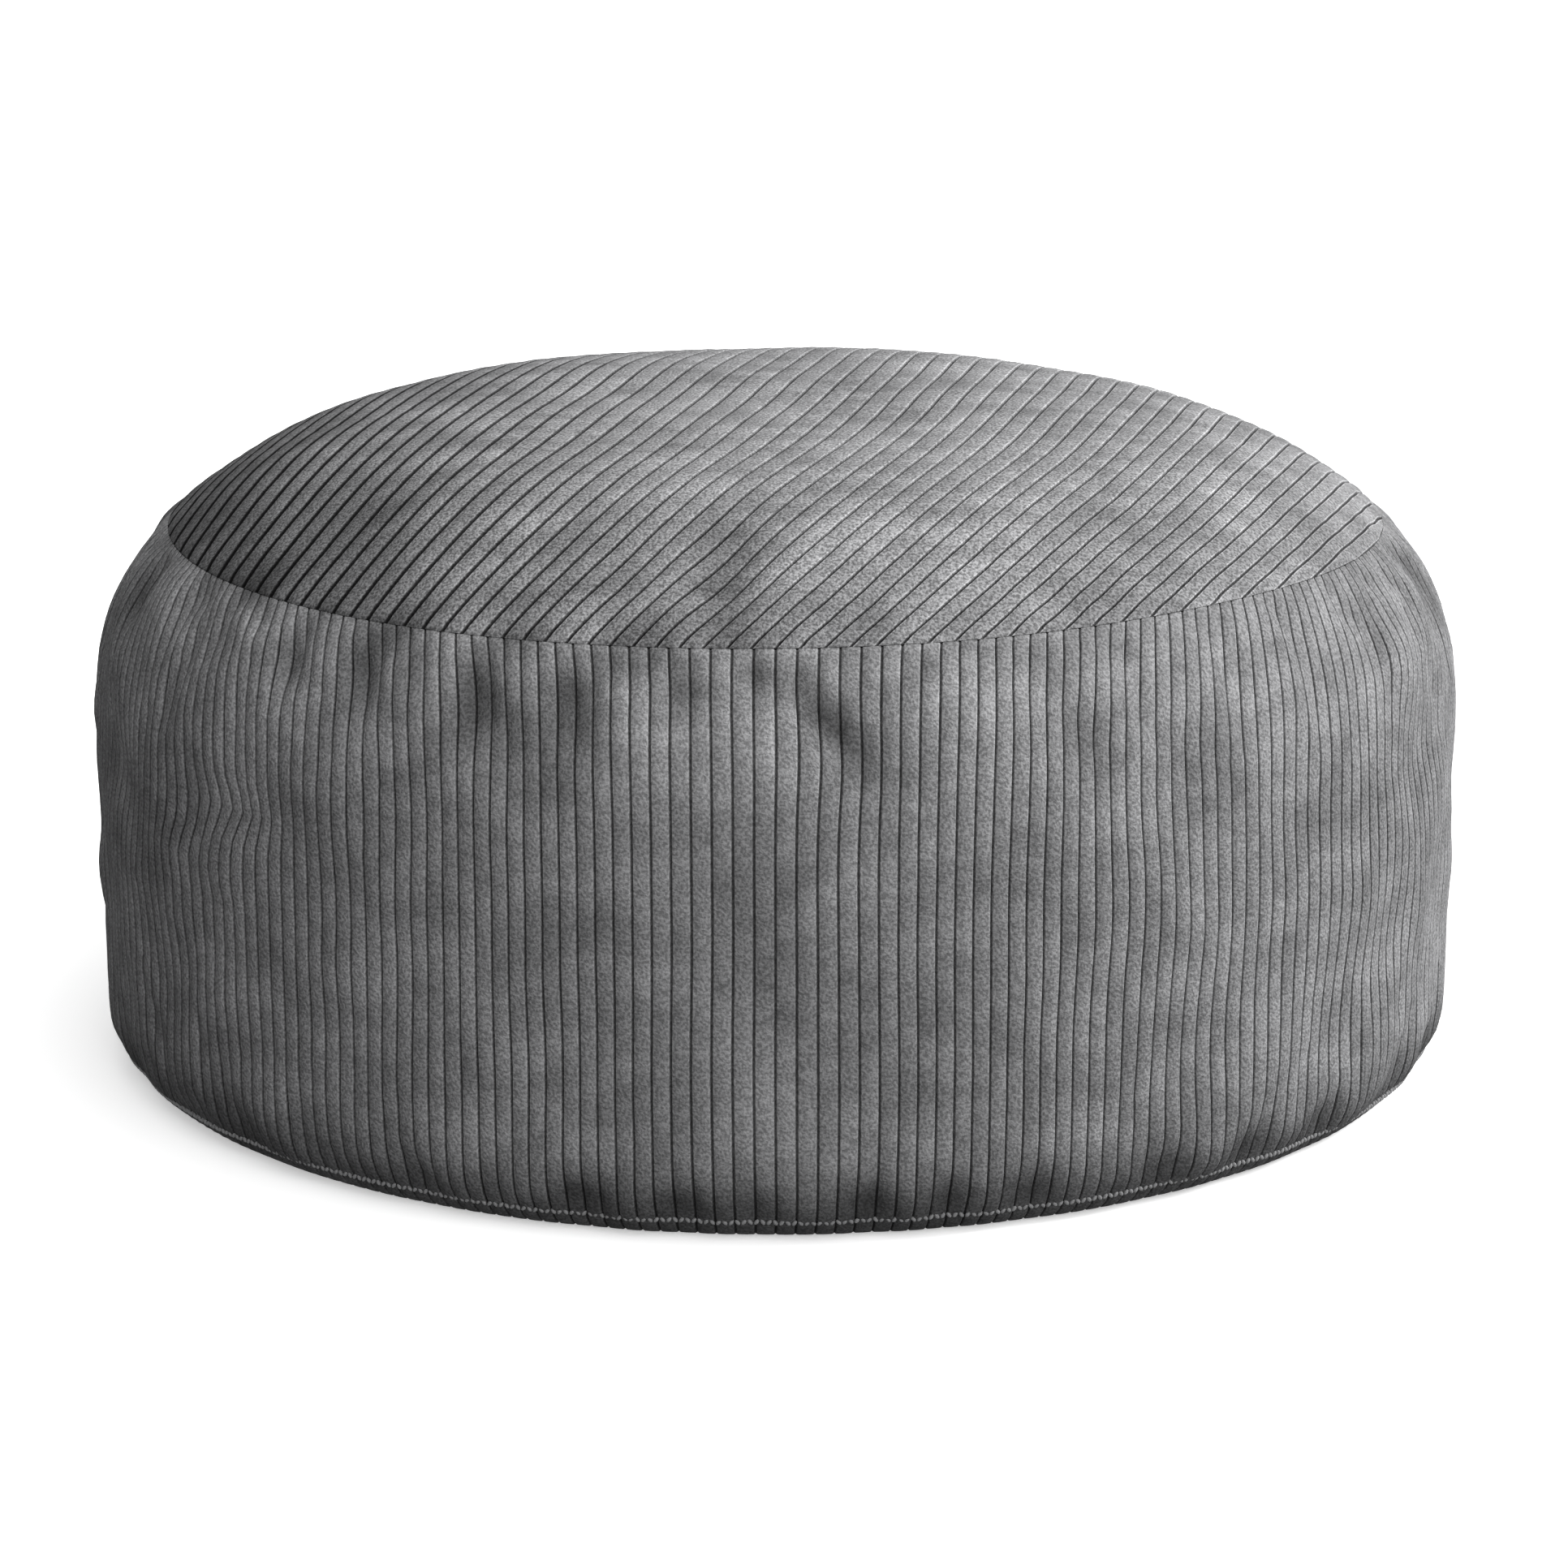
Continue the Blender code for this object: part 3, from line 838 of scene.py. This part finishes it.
def wale_tree():
    """Presses the grooves between the wales into a smooth cloth."""
    tree, given = new_tree(
        "Corduroy Wales", ("Wale Pitch", "Wale Depth", "Groove Width", "Crest Rise"), "Cloth")
    phase, fade = (add_node(tree, "GeometryNodeInputNamedAttribute", {"Name": label},
                            data_type="FLOAT").outputs["Attribute"]
                   for label in ("wale_phase", "wale_fade"))
    nearest = calculate(tree, "MINIMUM", phase, calculate(tree, "SUBTRACT", 1.0, phase))
    distance = calculate(tree, "MULTIPLY", nearest, given["Wale Pitch"])
    half = calculate(tree, "MULTIPLY", given["Groove Width"], 0.5)
    square = calculate(tree, "POWER", calculate(tree, "DIVIDE", distance, half), 2.0)
    groove = calculate(tree, "EXPONENT", calculate(tree, "MULTIPLY", square, -1.0))
    sink = calculate(tree, "MULTIPLY", groove, given["Wale Depth"])
    # The crest is a low arch: zero at the groove and full in the middle of the wale
    arch = calculate(tree, "SINE", calculate(tree, "MULTIPLY", nearest, math.pi))
    rise = calculate(tree, "MULTIPLY", arch, given["Crest Rise"])
    total = calculate(tree, "SUBTRACT", rise, sink)
    normal = add_node(tree, "GeometryNodeInputNormal")
    offset = add_node(tree, "ShaderNodeVectorMath",
                      {0: normal, "Scale": calculate(tree, "MULTIPLY", total, fade)},
                      operation="SCALE")
    moved = add_node(tree, "GeometryNodeSetPosition",
                     {"Geometry": given["Geometry"], "Offset": offset})
    return finish_tree(tree, moved, given["Cloth"])


def stitch_tree():
    """Lays thread stitches end to end along a curve."""
    tree, given = new_tree(
        "Hem Stitches", ("Stitch Spacing", "Stitch Length", "Thread Thickness", "Slant"), "Thread")
    curve = add_node(tree, "GeometryNodeMeshToCurve", {"Mesh": given["Geometry"]})
    spaced = add_node(tree, "GeometryNodeResampleCurve", {"Curve": curve})
    spaced.mode = "LENGTH"
    tree.links.new(given["Stitch Spacing"], spaced.inputs["Length"])
    tangent = add_node(tree, "GeometryNodeInputTangent")
    aligned = add_node(tree, "FunctionNodeAlignRotationToVector", {"Vector": tangent}, axis="X")
    spot = add_node(tree, "GeometryNodeInputPosition")
    outward = add_node(tree, "ShaderNodeVectorMath", {0: spot, 1: (1.0, 1.0, 0.0)},
                       operation="MULTIPLY")
    turned = add_node(tree, "FunctionNodeAlignRotationToVector",
                      {"Rotation": aligned, "Vector": outward}, axis="Z", pivot_axis="X")
    # Every other stitch slants the other way, which makes a zigzag
    odd = calculate(tree, "MODULO", add_node(tree, "GeometryNodeInputIndex"), 2.0)
    side = calculate(tree, "MULTIPLY_ADD", odd, 2.0, -1.0)
    tilt = add_node(tree, "FunctionNodeAxisAngleToRotation",
                    {"Axis": (0.0, 0.0, 1.0),
                     "Angle": calculate(tree, "MULTIPLY", side, given["Slant"])})
    slanted = add_node(tree, "FunctionNodeRotateRotation",
                       {"Rotation": turned, "Rotate By": tilt}, rotation_space="LOCAL")
    ball = add_node(tree, "GeometryNodeMeshUVSphere", {"Segments": 8, "Rings": 5, "Radius": 0.5})
    size = add_node(tree, "ShaderNodeCombineXYZ",
                    {"X": given["Stitch Length"], "Y": given["Thread Thickness"],
                     "Z": given["Thread Thickness"]})
    placed = add_node(tree, "GeometryNodeInstanceOnPoints",
                      {"Points": spaced, "Instance": ball, "Rotation": slanted, "Scale": size})
    return finish_tree(tree, placed, given["Thread"])


# Materials


def new_material(name, roughness, specular):
    """A material with its node tree and its shader."""
    material = bpy.data.materials.new(name)
    material.use_nodes = True
    shader = material.node_tree.nodes["Principled BSDF"]
    shader.inputs["Roughness"].default_value = roughness
    shader.inputs["Specular IOR Level"].default_value = specular
    return material, material.node_tree, shader


def tint(tree, shader, colour, strength):
    """Gives the shader a colour that a node makes lighter and darker."""
    scaled = add_node(tree, "ShaderNodeVectorMath", {0: colour, "Scale": strength},
                      operation="SCALE")
    tree.links.new(scaled.outputs[0], shader.inputs["Base Color"])


def roughen(tree, shader, height, strength, depth):
    """Gives the shader a fine relief, its depth in metres."""
    relief = add_node(tree, "ShaderNodeBump",
                      {"Height": height, "Strength": strength, "Distance": depth})
    tree.links.new(relief.outputs[0], shader.inputs["Normal"])


# The look of each cover's pile: the wale count, a colour gain that is a touch higher on the top as
# painted light, half the bare weave and half the whole groove as shares of the pitch, how far from
# the middle the painted groove shade starts to widen and how far it then does at the left and at the
# right, the painted shade of the grooves and the painted highlight on their edges at the left and at
# the right, the strength of the speckle, the way of the painted light and the slopes facing away
# from it in which the pile gets painted shade, how dark it then is, and the painted shade along the
# hem
SIDE_PILE = {
    "wales": WALES_ROUND_SIDE, "tone": 1.0, "groove": (0.025, 0.10),
    "shade_widen_from": 0.17, "shade_widen_left": 1.7, "shade_widen_right": 1.7,
    "groove_shade": (0.20, 0.26), "groove_highlight": (1.15, 1.30), "speckle": 0.32,
    "painted_light_way": (1.0, 0.0, 0.0), "shaded_slopes": (-1.0, -0.70), "slope_shade": 0.80,
    "hem_shade": 0.36,
}
TOP_PILE = {
    "wales": WALES_ACROSS_TOP, "tone": 1.03, "groove": (0.045, 0.105),
    "shade_widen_from": 0.02, "shade_widen_left": 1.9, "shade_widen_right": 1.0,
    "groove_shade": (0.03, 0.30), "groove_highlight": (1.05, 1.75), "speckle": 0.46,
    "painted_light_way": (1.0, -0.45, 0.0), "shaded_slopes": (-0.40, 0.0), "slope_shade": 0.50,
    "hem_shade": 1.0,
}


def corduroy(name, settings, look):
    """Cotton corduroy, woven and cut to a pile that was brushed up.

    To the eye: matt flat-topped wales with a fine speckle, soft lighter and darker patches where the
    pile lies over, and nearly black grooves down to the bare weave. Shade and highlights are painted
    in as well: shade in the grooves, folds, hollows, beside the top seam, along the hem and on
    slopes facing -X, highlights on the groove edges and a little light on swellings.
    """
    material, tree, shader = new_material(name, roughness=0.96, specular=0.10)
    cloth = add_node(tree, "ShaderNodeUVMap", uv_map="cloth")
    split = add_node(tree, "ShaderNodeSeparateXYZ", {"Vector": cloth}).outputs
    count = calculate(tree, "MULTIPLY", split["X"], float(look["wales"]))
    phase = calculate(tree, "FRACT", count)
    place = add_node(tree, "ShaderNodeTexCoord").outputs["Object"]
    across = add_node(tree, "ShaderNodeSeparateXYZ", {"Vector": place}).outputs["X"]

    # Patches along one wale, which change at every groove
    strip = add_node(tree, "ShaderNodeCombineXYZ",
                     {"X": calculate(tree, "FLOOR", count), "Y": split["Y"]})
    strip_place = add_node(tree, "ShaderNodeVectorMath", {0: strip, 1: WALE_PATCHES},
                           operation="MULTIPLY")
    patches = noise(tree, strip_place, 1.0, detail=2.0)
    # Brushed clouds that run over several wales
    clouds = noise(tree, place, CLOUD_SIZE, detail=3.0, roughness=0.55)
    # Tufts of pile: 0.35 mm in the real cloth, drawn larger so that they show
    tufts = noise(tree, place, TUFT_SIZE, detail=1.0)
    swing = 0.45 * settings.nap_contrast
    nap = map_range(tree, calculate(tree, "ADD", patches, clouds), (0.75, 1.25),
                    (1.0 - swing, 1.0 + swing))
    speckle = map_range(tree, tufts, (0.34, 0.66),
                        (1.0 - look["speckle"], 1.0 + look["speckle"]))

    # The pile is one, and falls to the darker bare weave in the groove. Painted shade is added
    # there: the dark band widens towards the left and the right and is darker at the left.
    nearest = calculate(tree, "MINIMUM", phase, calculate(tree, "SUBTRACT", 1.0, phase))
    at_left = map_range(tree, across, (-SHADE_WIDEN_TO, -look["shade_widen_from"]), (look["shade_widen_left"], 1.0))
    at_right = map_range(tree, across, (look["shade_widen_from"], SHADE_WIDEN_TO), (1.0, look["shade_widen_right"]))
    groove_shade_widening = calculate(tree, "MULTIPLY", at_left, at_right)
    groove_shade_distance = calculate(tree, "DIVIDE", nearest, groove_shade_widening)
    dark = map_range(tree, across, LEFT_TO_RIGHT, look["groove_shade"])
    highlight_strength = map_range(tree, across, LEFT_TO_RIGHT, look["groove_highlight"])
    bare, edge = look["groove"]
    pile = map_range(tree, groove_shade_distance, (bare, edge), (dark, 1.0), interpolation_type="SMOOTHSTEP")
    # A painted highlight makes a thin pale line on both sides of each groove, brighter at the right
    groove_highlight = map_range(tree, groove_shade_distance, (edge, 1.6 * edge), (highlight_strength, 1.0),
                    interpolation_type="SMOOTHSTEP")
    # Painted shade where the cloth slopes down to -X, away from the light, read from the way the
    # smooth cloth faces
    faced = add_node(tree, "ShaderNodeAttribute", attribute_name="cloth_facing")
    facing = add_node(tree, "ShaderNodeVectorMath",
                      {0: faced.outputs["Vector"], 1: look["painted_light_way"]}, operation="DOT_PRODUCT")
    painted_slope_shade = map_range(tree, facing.outputs["Value"], look["shaded_slopes"], (look["slope_shade"], 1.0))
    # Painted shade along the hem, near the floor
    painted_hem_shade = map_range(tree, split["Y"], HEM_SHADE_RISE, (look["hem_shade"], 1.0),
                        interpolation_type="SMOOTHSTEP")
    # Painted shade in folds, hollows and beside the top seam, and a little painted light on a
    # swelling
    painted_shading = add_node(tree, "ShaderNodeAttribute", attribute_name="painted_shading")
    painted_fold_shading = map_range(tree, painted_shading.outputs["Fac"], PAINTED_SHADING_LIMITS,
                       (1.0 + 0.5 * PAINTED_SHADE_STRENGTH, 1.0 - PAINTED_SHADE_STRENGTH))
    shade = nap
    for part in (speckle, pile, groove_highlight, painted_slope_shade, painted_hem_shade, painted_fold_shading):
        shade = calculate(tree, "MULTIPLY", shade, part)
    tint(tree, shader, [look["tone"] * part for part in settings.pile_colour], shade)
    roughen(tree, shader, tufts, 0.7, 0.0009)
    return material


def plain_weave():
    """Plain-woven polyester lining cloth, as used under seats: flat, dull and even."""
    material, tree, shader = new_material("plain_woven_polyester", roughness=0.90, specular=0.2)
    place = add_node(tree, "ShaderNodeTexCoord").outputs["Object"]
    warp, weft = (add_node(tree, "ShaderNodeTexWave",
                           {"Vector": place, "Scale": 2.0 / (6.2832 * YARN_PITCH)},
                           wave_type="BANDS", bands_direction=way).outputs["Fac"]
                  for way in ("X", "Y"))
    weave = calculate(tree, "MULTIPLY", warp, weft)
    tone = map_range(tree, noise(tree, place, 0.030, detail=3.0), (0.3, 0.7), (0.88, 1.12))
    yarn = map_range(tree, weave, (0.0, 1.0), (0.82, 1.1))
    tint(tree, shader, linear("#4a4a4b")[:3], calculate(tree, "MULTIPLY", tone, yarn))
    roughen(tree, shader, weave, 0.4, 0.0003)
    return material


def spun_thread():
    """Spun polyester sewing thread: a touch paler than the cloth, with a fine twist."""
    material, tree, shader = new_material("spun_polyester_thread", roughness=0.7, specular=0.5)
    place = add_node(tree, "ShaderNodeTexCoord").outputs["Object"]
    twist = noise(tree, place, 0.0006, detail=1.0)
    tint(tree, shader, linear("#727273")[:3], map_range(tree, twist, (0.3, 0.7), (0.8, 1.15)))
    return material


def studio_floor():
    """Matt white acrylic table lit from below, which leaves only a thin shadow at the foot."""
    material, _, shader = new_material("lit_white_acrylic", roughness=1.0, specular=0.0)
    shader.inputs["Base Color"].default_value = linear("#f2f2f2")
    shader.inputs["Emission Color"].default_value = linear("#ffffff")
    shader.inputs["Emission Strength"].default_value = FLOOR_GLOW
    return material


# Operators, one for each piece and one for the stage


def press_wales(made, pitch, relief, settings, material):
    """Runs the tree of the wales on a cover."""
    settle(made, wale_tree(), {
        "Wale Pitch": pitch, "Wale Depth": settings.wale_depth * relief,
        "Groove Width": settings.groove_width, "Crest Rise": settings.crest_rise,
        "Cloth": material})


class BEANBAG_OT_side_cover(Operator):
    """Makes the side cover: a wide band of corduroy with upright wales and gathered edges"""

    bl_idname = "beanbag.side_cover"
    bl_label = "Side Cover"

    def execute(self, context):
        settings = context.scene.bean_bag
        points, length, wale, painted_shading = side_grid(settings.seed, filled_bag(settings.seed))
        rows, columns = painted_shading.shape
        left = wale / WALES_ROUND_SIDE
        right = np.append(left[1:], 1.0)
        loop_uv = []
        for low, high in zip(length[:-1], length[1:]):
            corners = ((left, low), (right, low), (right, high), (left, high))
            quad = [np.stack([across, np.full(columns, along)], 1) for across, along in corners]
            loop_uv.append(np.stack(quad, 1).reshape(-1, 2))
        loop_uv.append(np.zeros((6 * columns, 2)))
        # The drum is closed below the hem and under the top cover
        flat = points.reshape(-1, 3)
        ends = [[0.0, 0.0, points[0, 0, 2]], [0.0, 0.0, SEAM_HEIGHT - 3.0 * CLEARANCE]]
        faces = grid_faces(rows, columns) + end_faces(len(flat), (rows - 1) * columns, columns)
        near_seam = smooth(0.0, 0.002, length[-1] - length)
        near_hem = smooth(-0.002, 0.003, length)
        fade = near_hem * (EDGE_WALES + (1.0 - EDGE_WALES) * near_seam)
        # The painted shading of the folds and the seam goes to the material as a point attribute
        attributes = {"wale_phase": np.append(np.tile(wale % 1.0, rows), [0.5, 0.5]),
                      "wale_fade": np.append(np.repeat(fade, columns), [0.0, 0.0]),
                      "painted_shading": np.append(painted_shading.ravel(), [0.0, 0.0])}
        material = corduroy("cut_pile_corduroy_side", settings, SIDE_PILE)
        made = cloth_piece("side_cover", np.vstack([flat, ends]), faces, np.vstack(loop_uv),
                           attributes, material)
        pitch = 2.0 * math.pi * WIDEST_RADIUS / WALES_ROUND_SIDE
        press_wales(made, pitch, 1.0, settings, material)
        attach(made, "root")
        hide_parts("side_band")
        return {"FINISHED"}


class BEANBAG_OT_top_cover(Operator):
    """Makes the top cover: a domed round of corduroy with its wales running one way"""

    bl_idname = "beanbag.top_cover"
    bl_label = "Top Cover"

    def execute(self, context):
        settings = context.scene.bean_bag
        points, length, wale = top_grid(settings.seed, filled_bag(settings.seed))
        lines, rows = length.shape
        first = np.arange(lines * rows).reshape(lines, rows)
        faces = np.stack([first[:-1, :-1], first[1:, :-1], first[1:, 1:], first[:-1, 1:]],
                         axis=-1).reshape(-1, 4).tolist()
        across = wale / WALES_ACROSS_TOP
        place = np.stack([np.repeat(across[:, None], rows, axis=1), length], axis=-1)
        quads = np.stack([place[:-1, :-1], place[1:, :-1], place[1:, 1:], place[:-1, 1:]], axis=2)
        loop_uv = [quads.reshape(-1, 2)]
        # A flat sheet closes the dome from below, joined to it all round the rim
        rim = np.concatenate(
            [first[:, 0], first[-1, 1:], first[-2::-1, -1], first[0, -2:0:-1]]).tolist()
        flat = points.reshape(-1, 3)
        flat_place = place.reshape(-1, 2)
        under = flat[rim].copy()
        angle = np.degrees(np.arctan2(under[:, 0], -under[:, 1]))
        under[:, 2] = SEAM_HEIGHT + seam_wave(angle) - CLEARANCE
        lower = len(flat)
        centre = lower + len(rim)
        for step, upper in enumerate(rim):
            after = (step + 1) % len(rim)
            faces.append((lower + step, lower + after, rim[after], upper))
            loop_uv.append(flat_place[[upper, rim[after], rim[after], upper]])
        for step in range(len(rim)):
            faces.append((centre, lower + (step + 1) % len(rim), lower + step))
        loop_uv.append(np.zeros((3 * len(rim), 2)))
        whole = np.vstack([flat, under, [[0.0, 0.0, SEAM_HEIGHT - CLEARANCE]]])
        from_rim = SEAM_RADIUS - np.hypot(whole[:, 0], whole[:, 1])
        fade = EDGE_WALES + (1.0 - EDGE_WALES) * smooth(0.0, 0.002, from_rim)
        fade[lower:] = 0.0
        phase = np.concatenate([np.repeat(wale % 1.0, rows), np.full(len(rim) + 1, 0.5)])
        around = np.degrees(np.arctan2(whole[:, 0], -whole[:, 1]))
        # Painted shade in the hollows of the top and beside the top seam
        painted_shading = np.clip(hollow_depth(whole[:, 0], whole[:, 1]) / DEEP_FOLD
                        + seam_shade(around, from_rim, SEAM_SHADE_INWARD), *PAINTED_SHADING_LIMITS)
        attributes = {"wale_phase": phase, "wale_fade": fade, "painted_shading": painted_shading}
        material = corduroy("cut_pile_corduroy_top", settings, TOP_PILE)
        made = cloth_piece("top_cover", whole, faces, np.vstack(loop_uv), attributes, material)
        pitch = 2.0 * TOP_REACH / WALES_ACROSS_TOP
        press_wales(made, pitch, settings.top_relief, settings, material)
        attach(made, "root")
        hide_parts("top_panel")
        return {"FINISHED"}


class BEANBAG_OT_base_cover(Operator):
    """Makes the base cover: a plain woven round sewn in under the hem"""

    bl_idname = "beanbag.base_cover"
    bl_label = "Base Cover"

    def execute(self, context):
        foot, edge = wall_radius(np.array([0.0, BASE_THICKNESS])) - BASE_INSET
        # The rolled edge rises from the floor in a quarter round to meet the hem
        section = [(foot * share, 0.0) for share in (0.35, 0.7, 0.95)]
        for turn in np.radians(np.linspace(0.0, 90.0, BASE_ROLL_STEPS)):
            section.append((foot - BASE_ROLL + (edge - foot) * math.sin(turn),
                            BASE_THICKNESS * (1.0 - math.cos(turn))))
        radii, heights = np.array(section).T[:, :, None]
        angle = 360.0 * np.arange(BASE_SIDES) / BASE_SIDES
        points = on_circle(radii, angle, heights).reshape(-1, 3)
        ends = [[0.0, 0.0, 0.0], [0.0, 0.0, BASE_THICKNESS]]
        last_ring = (len(section) - 1) * BASE_SIDES
        faces = grid_faces(len(section), BASE_SIDES)
        faces += end_faces(len(points), last_ring, BASE_SIDES)
        mesh = bpy.data.meshes.new("base_cover")
        mesh.from_pydata(np.vstack([points, ends]).tolist(), [], faces)
        mesh.materials.append(plain_weave())
        mesh.shade_smooth()
        made = piece("base_cover", mesh)
        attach(made, "root")
        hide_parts("base_panel")
        return {"FINISHED"}


class BEANBAG_OT_hem_stitches(Operator):
    """Lays the row of hem stitches that goes round just above the floor"""

    bl_idname = "beanbag.hem_stitches"
    bl_label = "Hem Stitches"

    def execute(self, context):
        settings = context.scene.bean_bag
        angle = 360.0 * np.arange(STITCH_PATH_STEPS) / STITCH_PATH_STEPS
        height = np.full(STITCH_PATH_STEPS, STITCH_HEIGHT)
        depth, _, _ = side_folds(angle, height)
        radius = wall_radius(height) - FOLD_RELIEF * depth + STITCH_LIFT
        edges = [(step, (step + 1) % STITCH_PATH_STEPS) for step in range(STITCH_PATH_STEPS)]
        mesh = bpy.data.meshes.new("hem_stitches")
        mesh.from_pydata(on_circle(radius, angle, height).tolist(), edges, [])
        made = piece("hem_stitches", mesh)
        settle(made, stitch_tree(), {
            "Stitch Spacing": settings.stitch_spacing, "Stitch Length": settings.stitch_length,
            "Thread Thickness": settings.thread_thickness,
            "Slant": math.radians(STITCH_SLANT), "Thread": spun_thread()})
        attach(made, "root")
        return {"FINISHED"}


class BEANBAG_OT_stage(Operator):
    """Sets the pale floor, the soft studio light and the camera at the photograph's view"""

    bl_idname = "beanbag.stage"
    bl_label = "Stage"

    def execute(self, context):
        scene = context.scene
        mesh = bpy.data.meshes.new("floor")
        corners = ((-1.0, -1.0), (1.0, -1.0), (1.0, 1.0), (-1.0, 1.0))
        mesh.from_pydata([(FLOOR_REACH * x, FLOOR_REACH * y, 0.0) for x, y in corners],
                         [], [(0, 1, 2, 3)])
        mesh.materials.append(studio_floor())
        floor = bpy.data.objects.new("floor", mesh)
        floor.visible_diffuse = False
        scene.collection.objects.link(floor)

        scene.world = bpy.data.worlds.new("studio")
        scene.world.use_nodes = True
        tree = scene.world.node_tree
        heading = add_node(tree, "ShaderNodeTexCoord").outputs["Generated"]
        parts = add_node(tree, "ShaderNodeSeparateXYZ", {"Vector": heading}).outputs
        strength = 1.0
        for axis, places, strengths in DOME_FADES:
            strength = calculate(tree, "MULTIPLY", strength,
                                 map_range(tree, parts[axis], places, strengths))
        background = tree.nodes["Background"]
        background.inputs["Color"].default_value = linear("#ffffff")
        tree.links.new(strength.outputs[0], background.inputs["Strength"])

        key = bpy.data.lights.new("key", "SUN")
        key.energy = LAMP_STRENGTH
        key.angle = math.radians(LAMP_SPREAD)
        lamp = bpy.data.objects.new("key", key)
        lamp.rotation_euler = Vector(LAMP_FROM).to_track_quat("Z", "Y").to_euler()
        scene.collection.objects.link(lamp)

        view = bpy.data.cameras.new("camera")
        view.sensor_width = SENSOR_WIDTH
        view.lens = FOCAL_PIXELS / PHOTO_PIXELS * SENSOR_WIDTH
        view.clip_end = VIEW_REACH
        camera = bpy.data.objects.new("camera", view)
        elevation = math.radians(CAMERA_ELEVATION)
        back = Vector((0.0, -math.cos(elevation), math.sin(elevation)))
        target = Vector((0.0, 0.0, TARGET_HEIGHT))
        camera.location = target + back * CAMERA_DISTANCE
        # The bag stands a little left of and below the middle of the frame
        view.shift_x = TARGET_LEFT_PIXELS / PHOTO_PIXELS
        view.shift_y = TARGET_DOWN_PIXELS / PHOTO_PIXELS
        camera.rotation_euler = back.to_track_quat("Z", "Y").to_euler()
        scene.collection.objects.link(camera)
        scene.camera = camera
        scene.view_settings.view_transform = "Standard"
        return {"FINISHED"}


class BEANBAG_PT_panel(Panel):
    """Lists the bag's pieces and its sizes"""

    bl_idname = "BEANBAG_PT_panel"
    bl_label = "Bean Bag"
    bl_space_type = "VIEW_3D"
    bl_region_type = "UI"
    bl_category = "Bean Bag"

    def draw(self, context):
        column = self.layout.column()
        for name in BeanBagSettings.__annotations__:
            column.prop(context.scene.bean_bag, name)
        for operator in OPERATORS:
            column.operator(operator.bl_idname)


OPERATORS = (
    BEANBAG_OT_side_cover,
    BEANBAG_OT_top_cover,
    BEANBAG_OT_base_cover,
    BEANBAG_OT_hem_stitches,
    BEANBAG_OT_stage,
)
CLASSES = (BeanBagSettings, *OPERATORS, BEANBAG_PT_panel)


def register():
    for each in CLASSES:
        bpy.utils.register_class(each)
    bpy.types.Scene.bean_bag = PointerProperty(type=BeanBagSettings)


def unregister():
    del bpy.types.Scene.bean_bag
    for each in reversed(CLASSES):
        bpy.utils.unregister_class(each)


def main():
    register()
    bpy.ops.beanbag.stage()
    bpy.ops.beanbag.side_cover()
    bpy.ops.beanbag.top_cover()
    bpy.ops.beanbag.base_cover()
    bpy.ops.beanbag.hem_stitches()


if __name__ == "__main__":
    main()
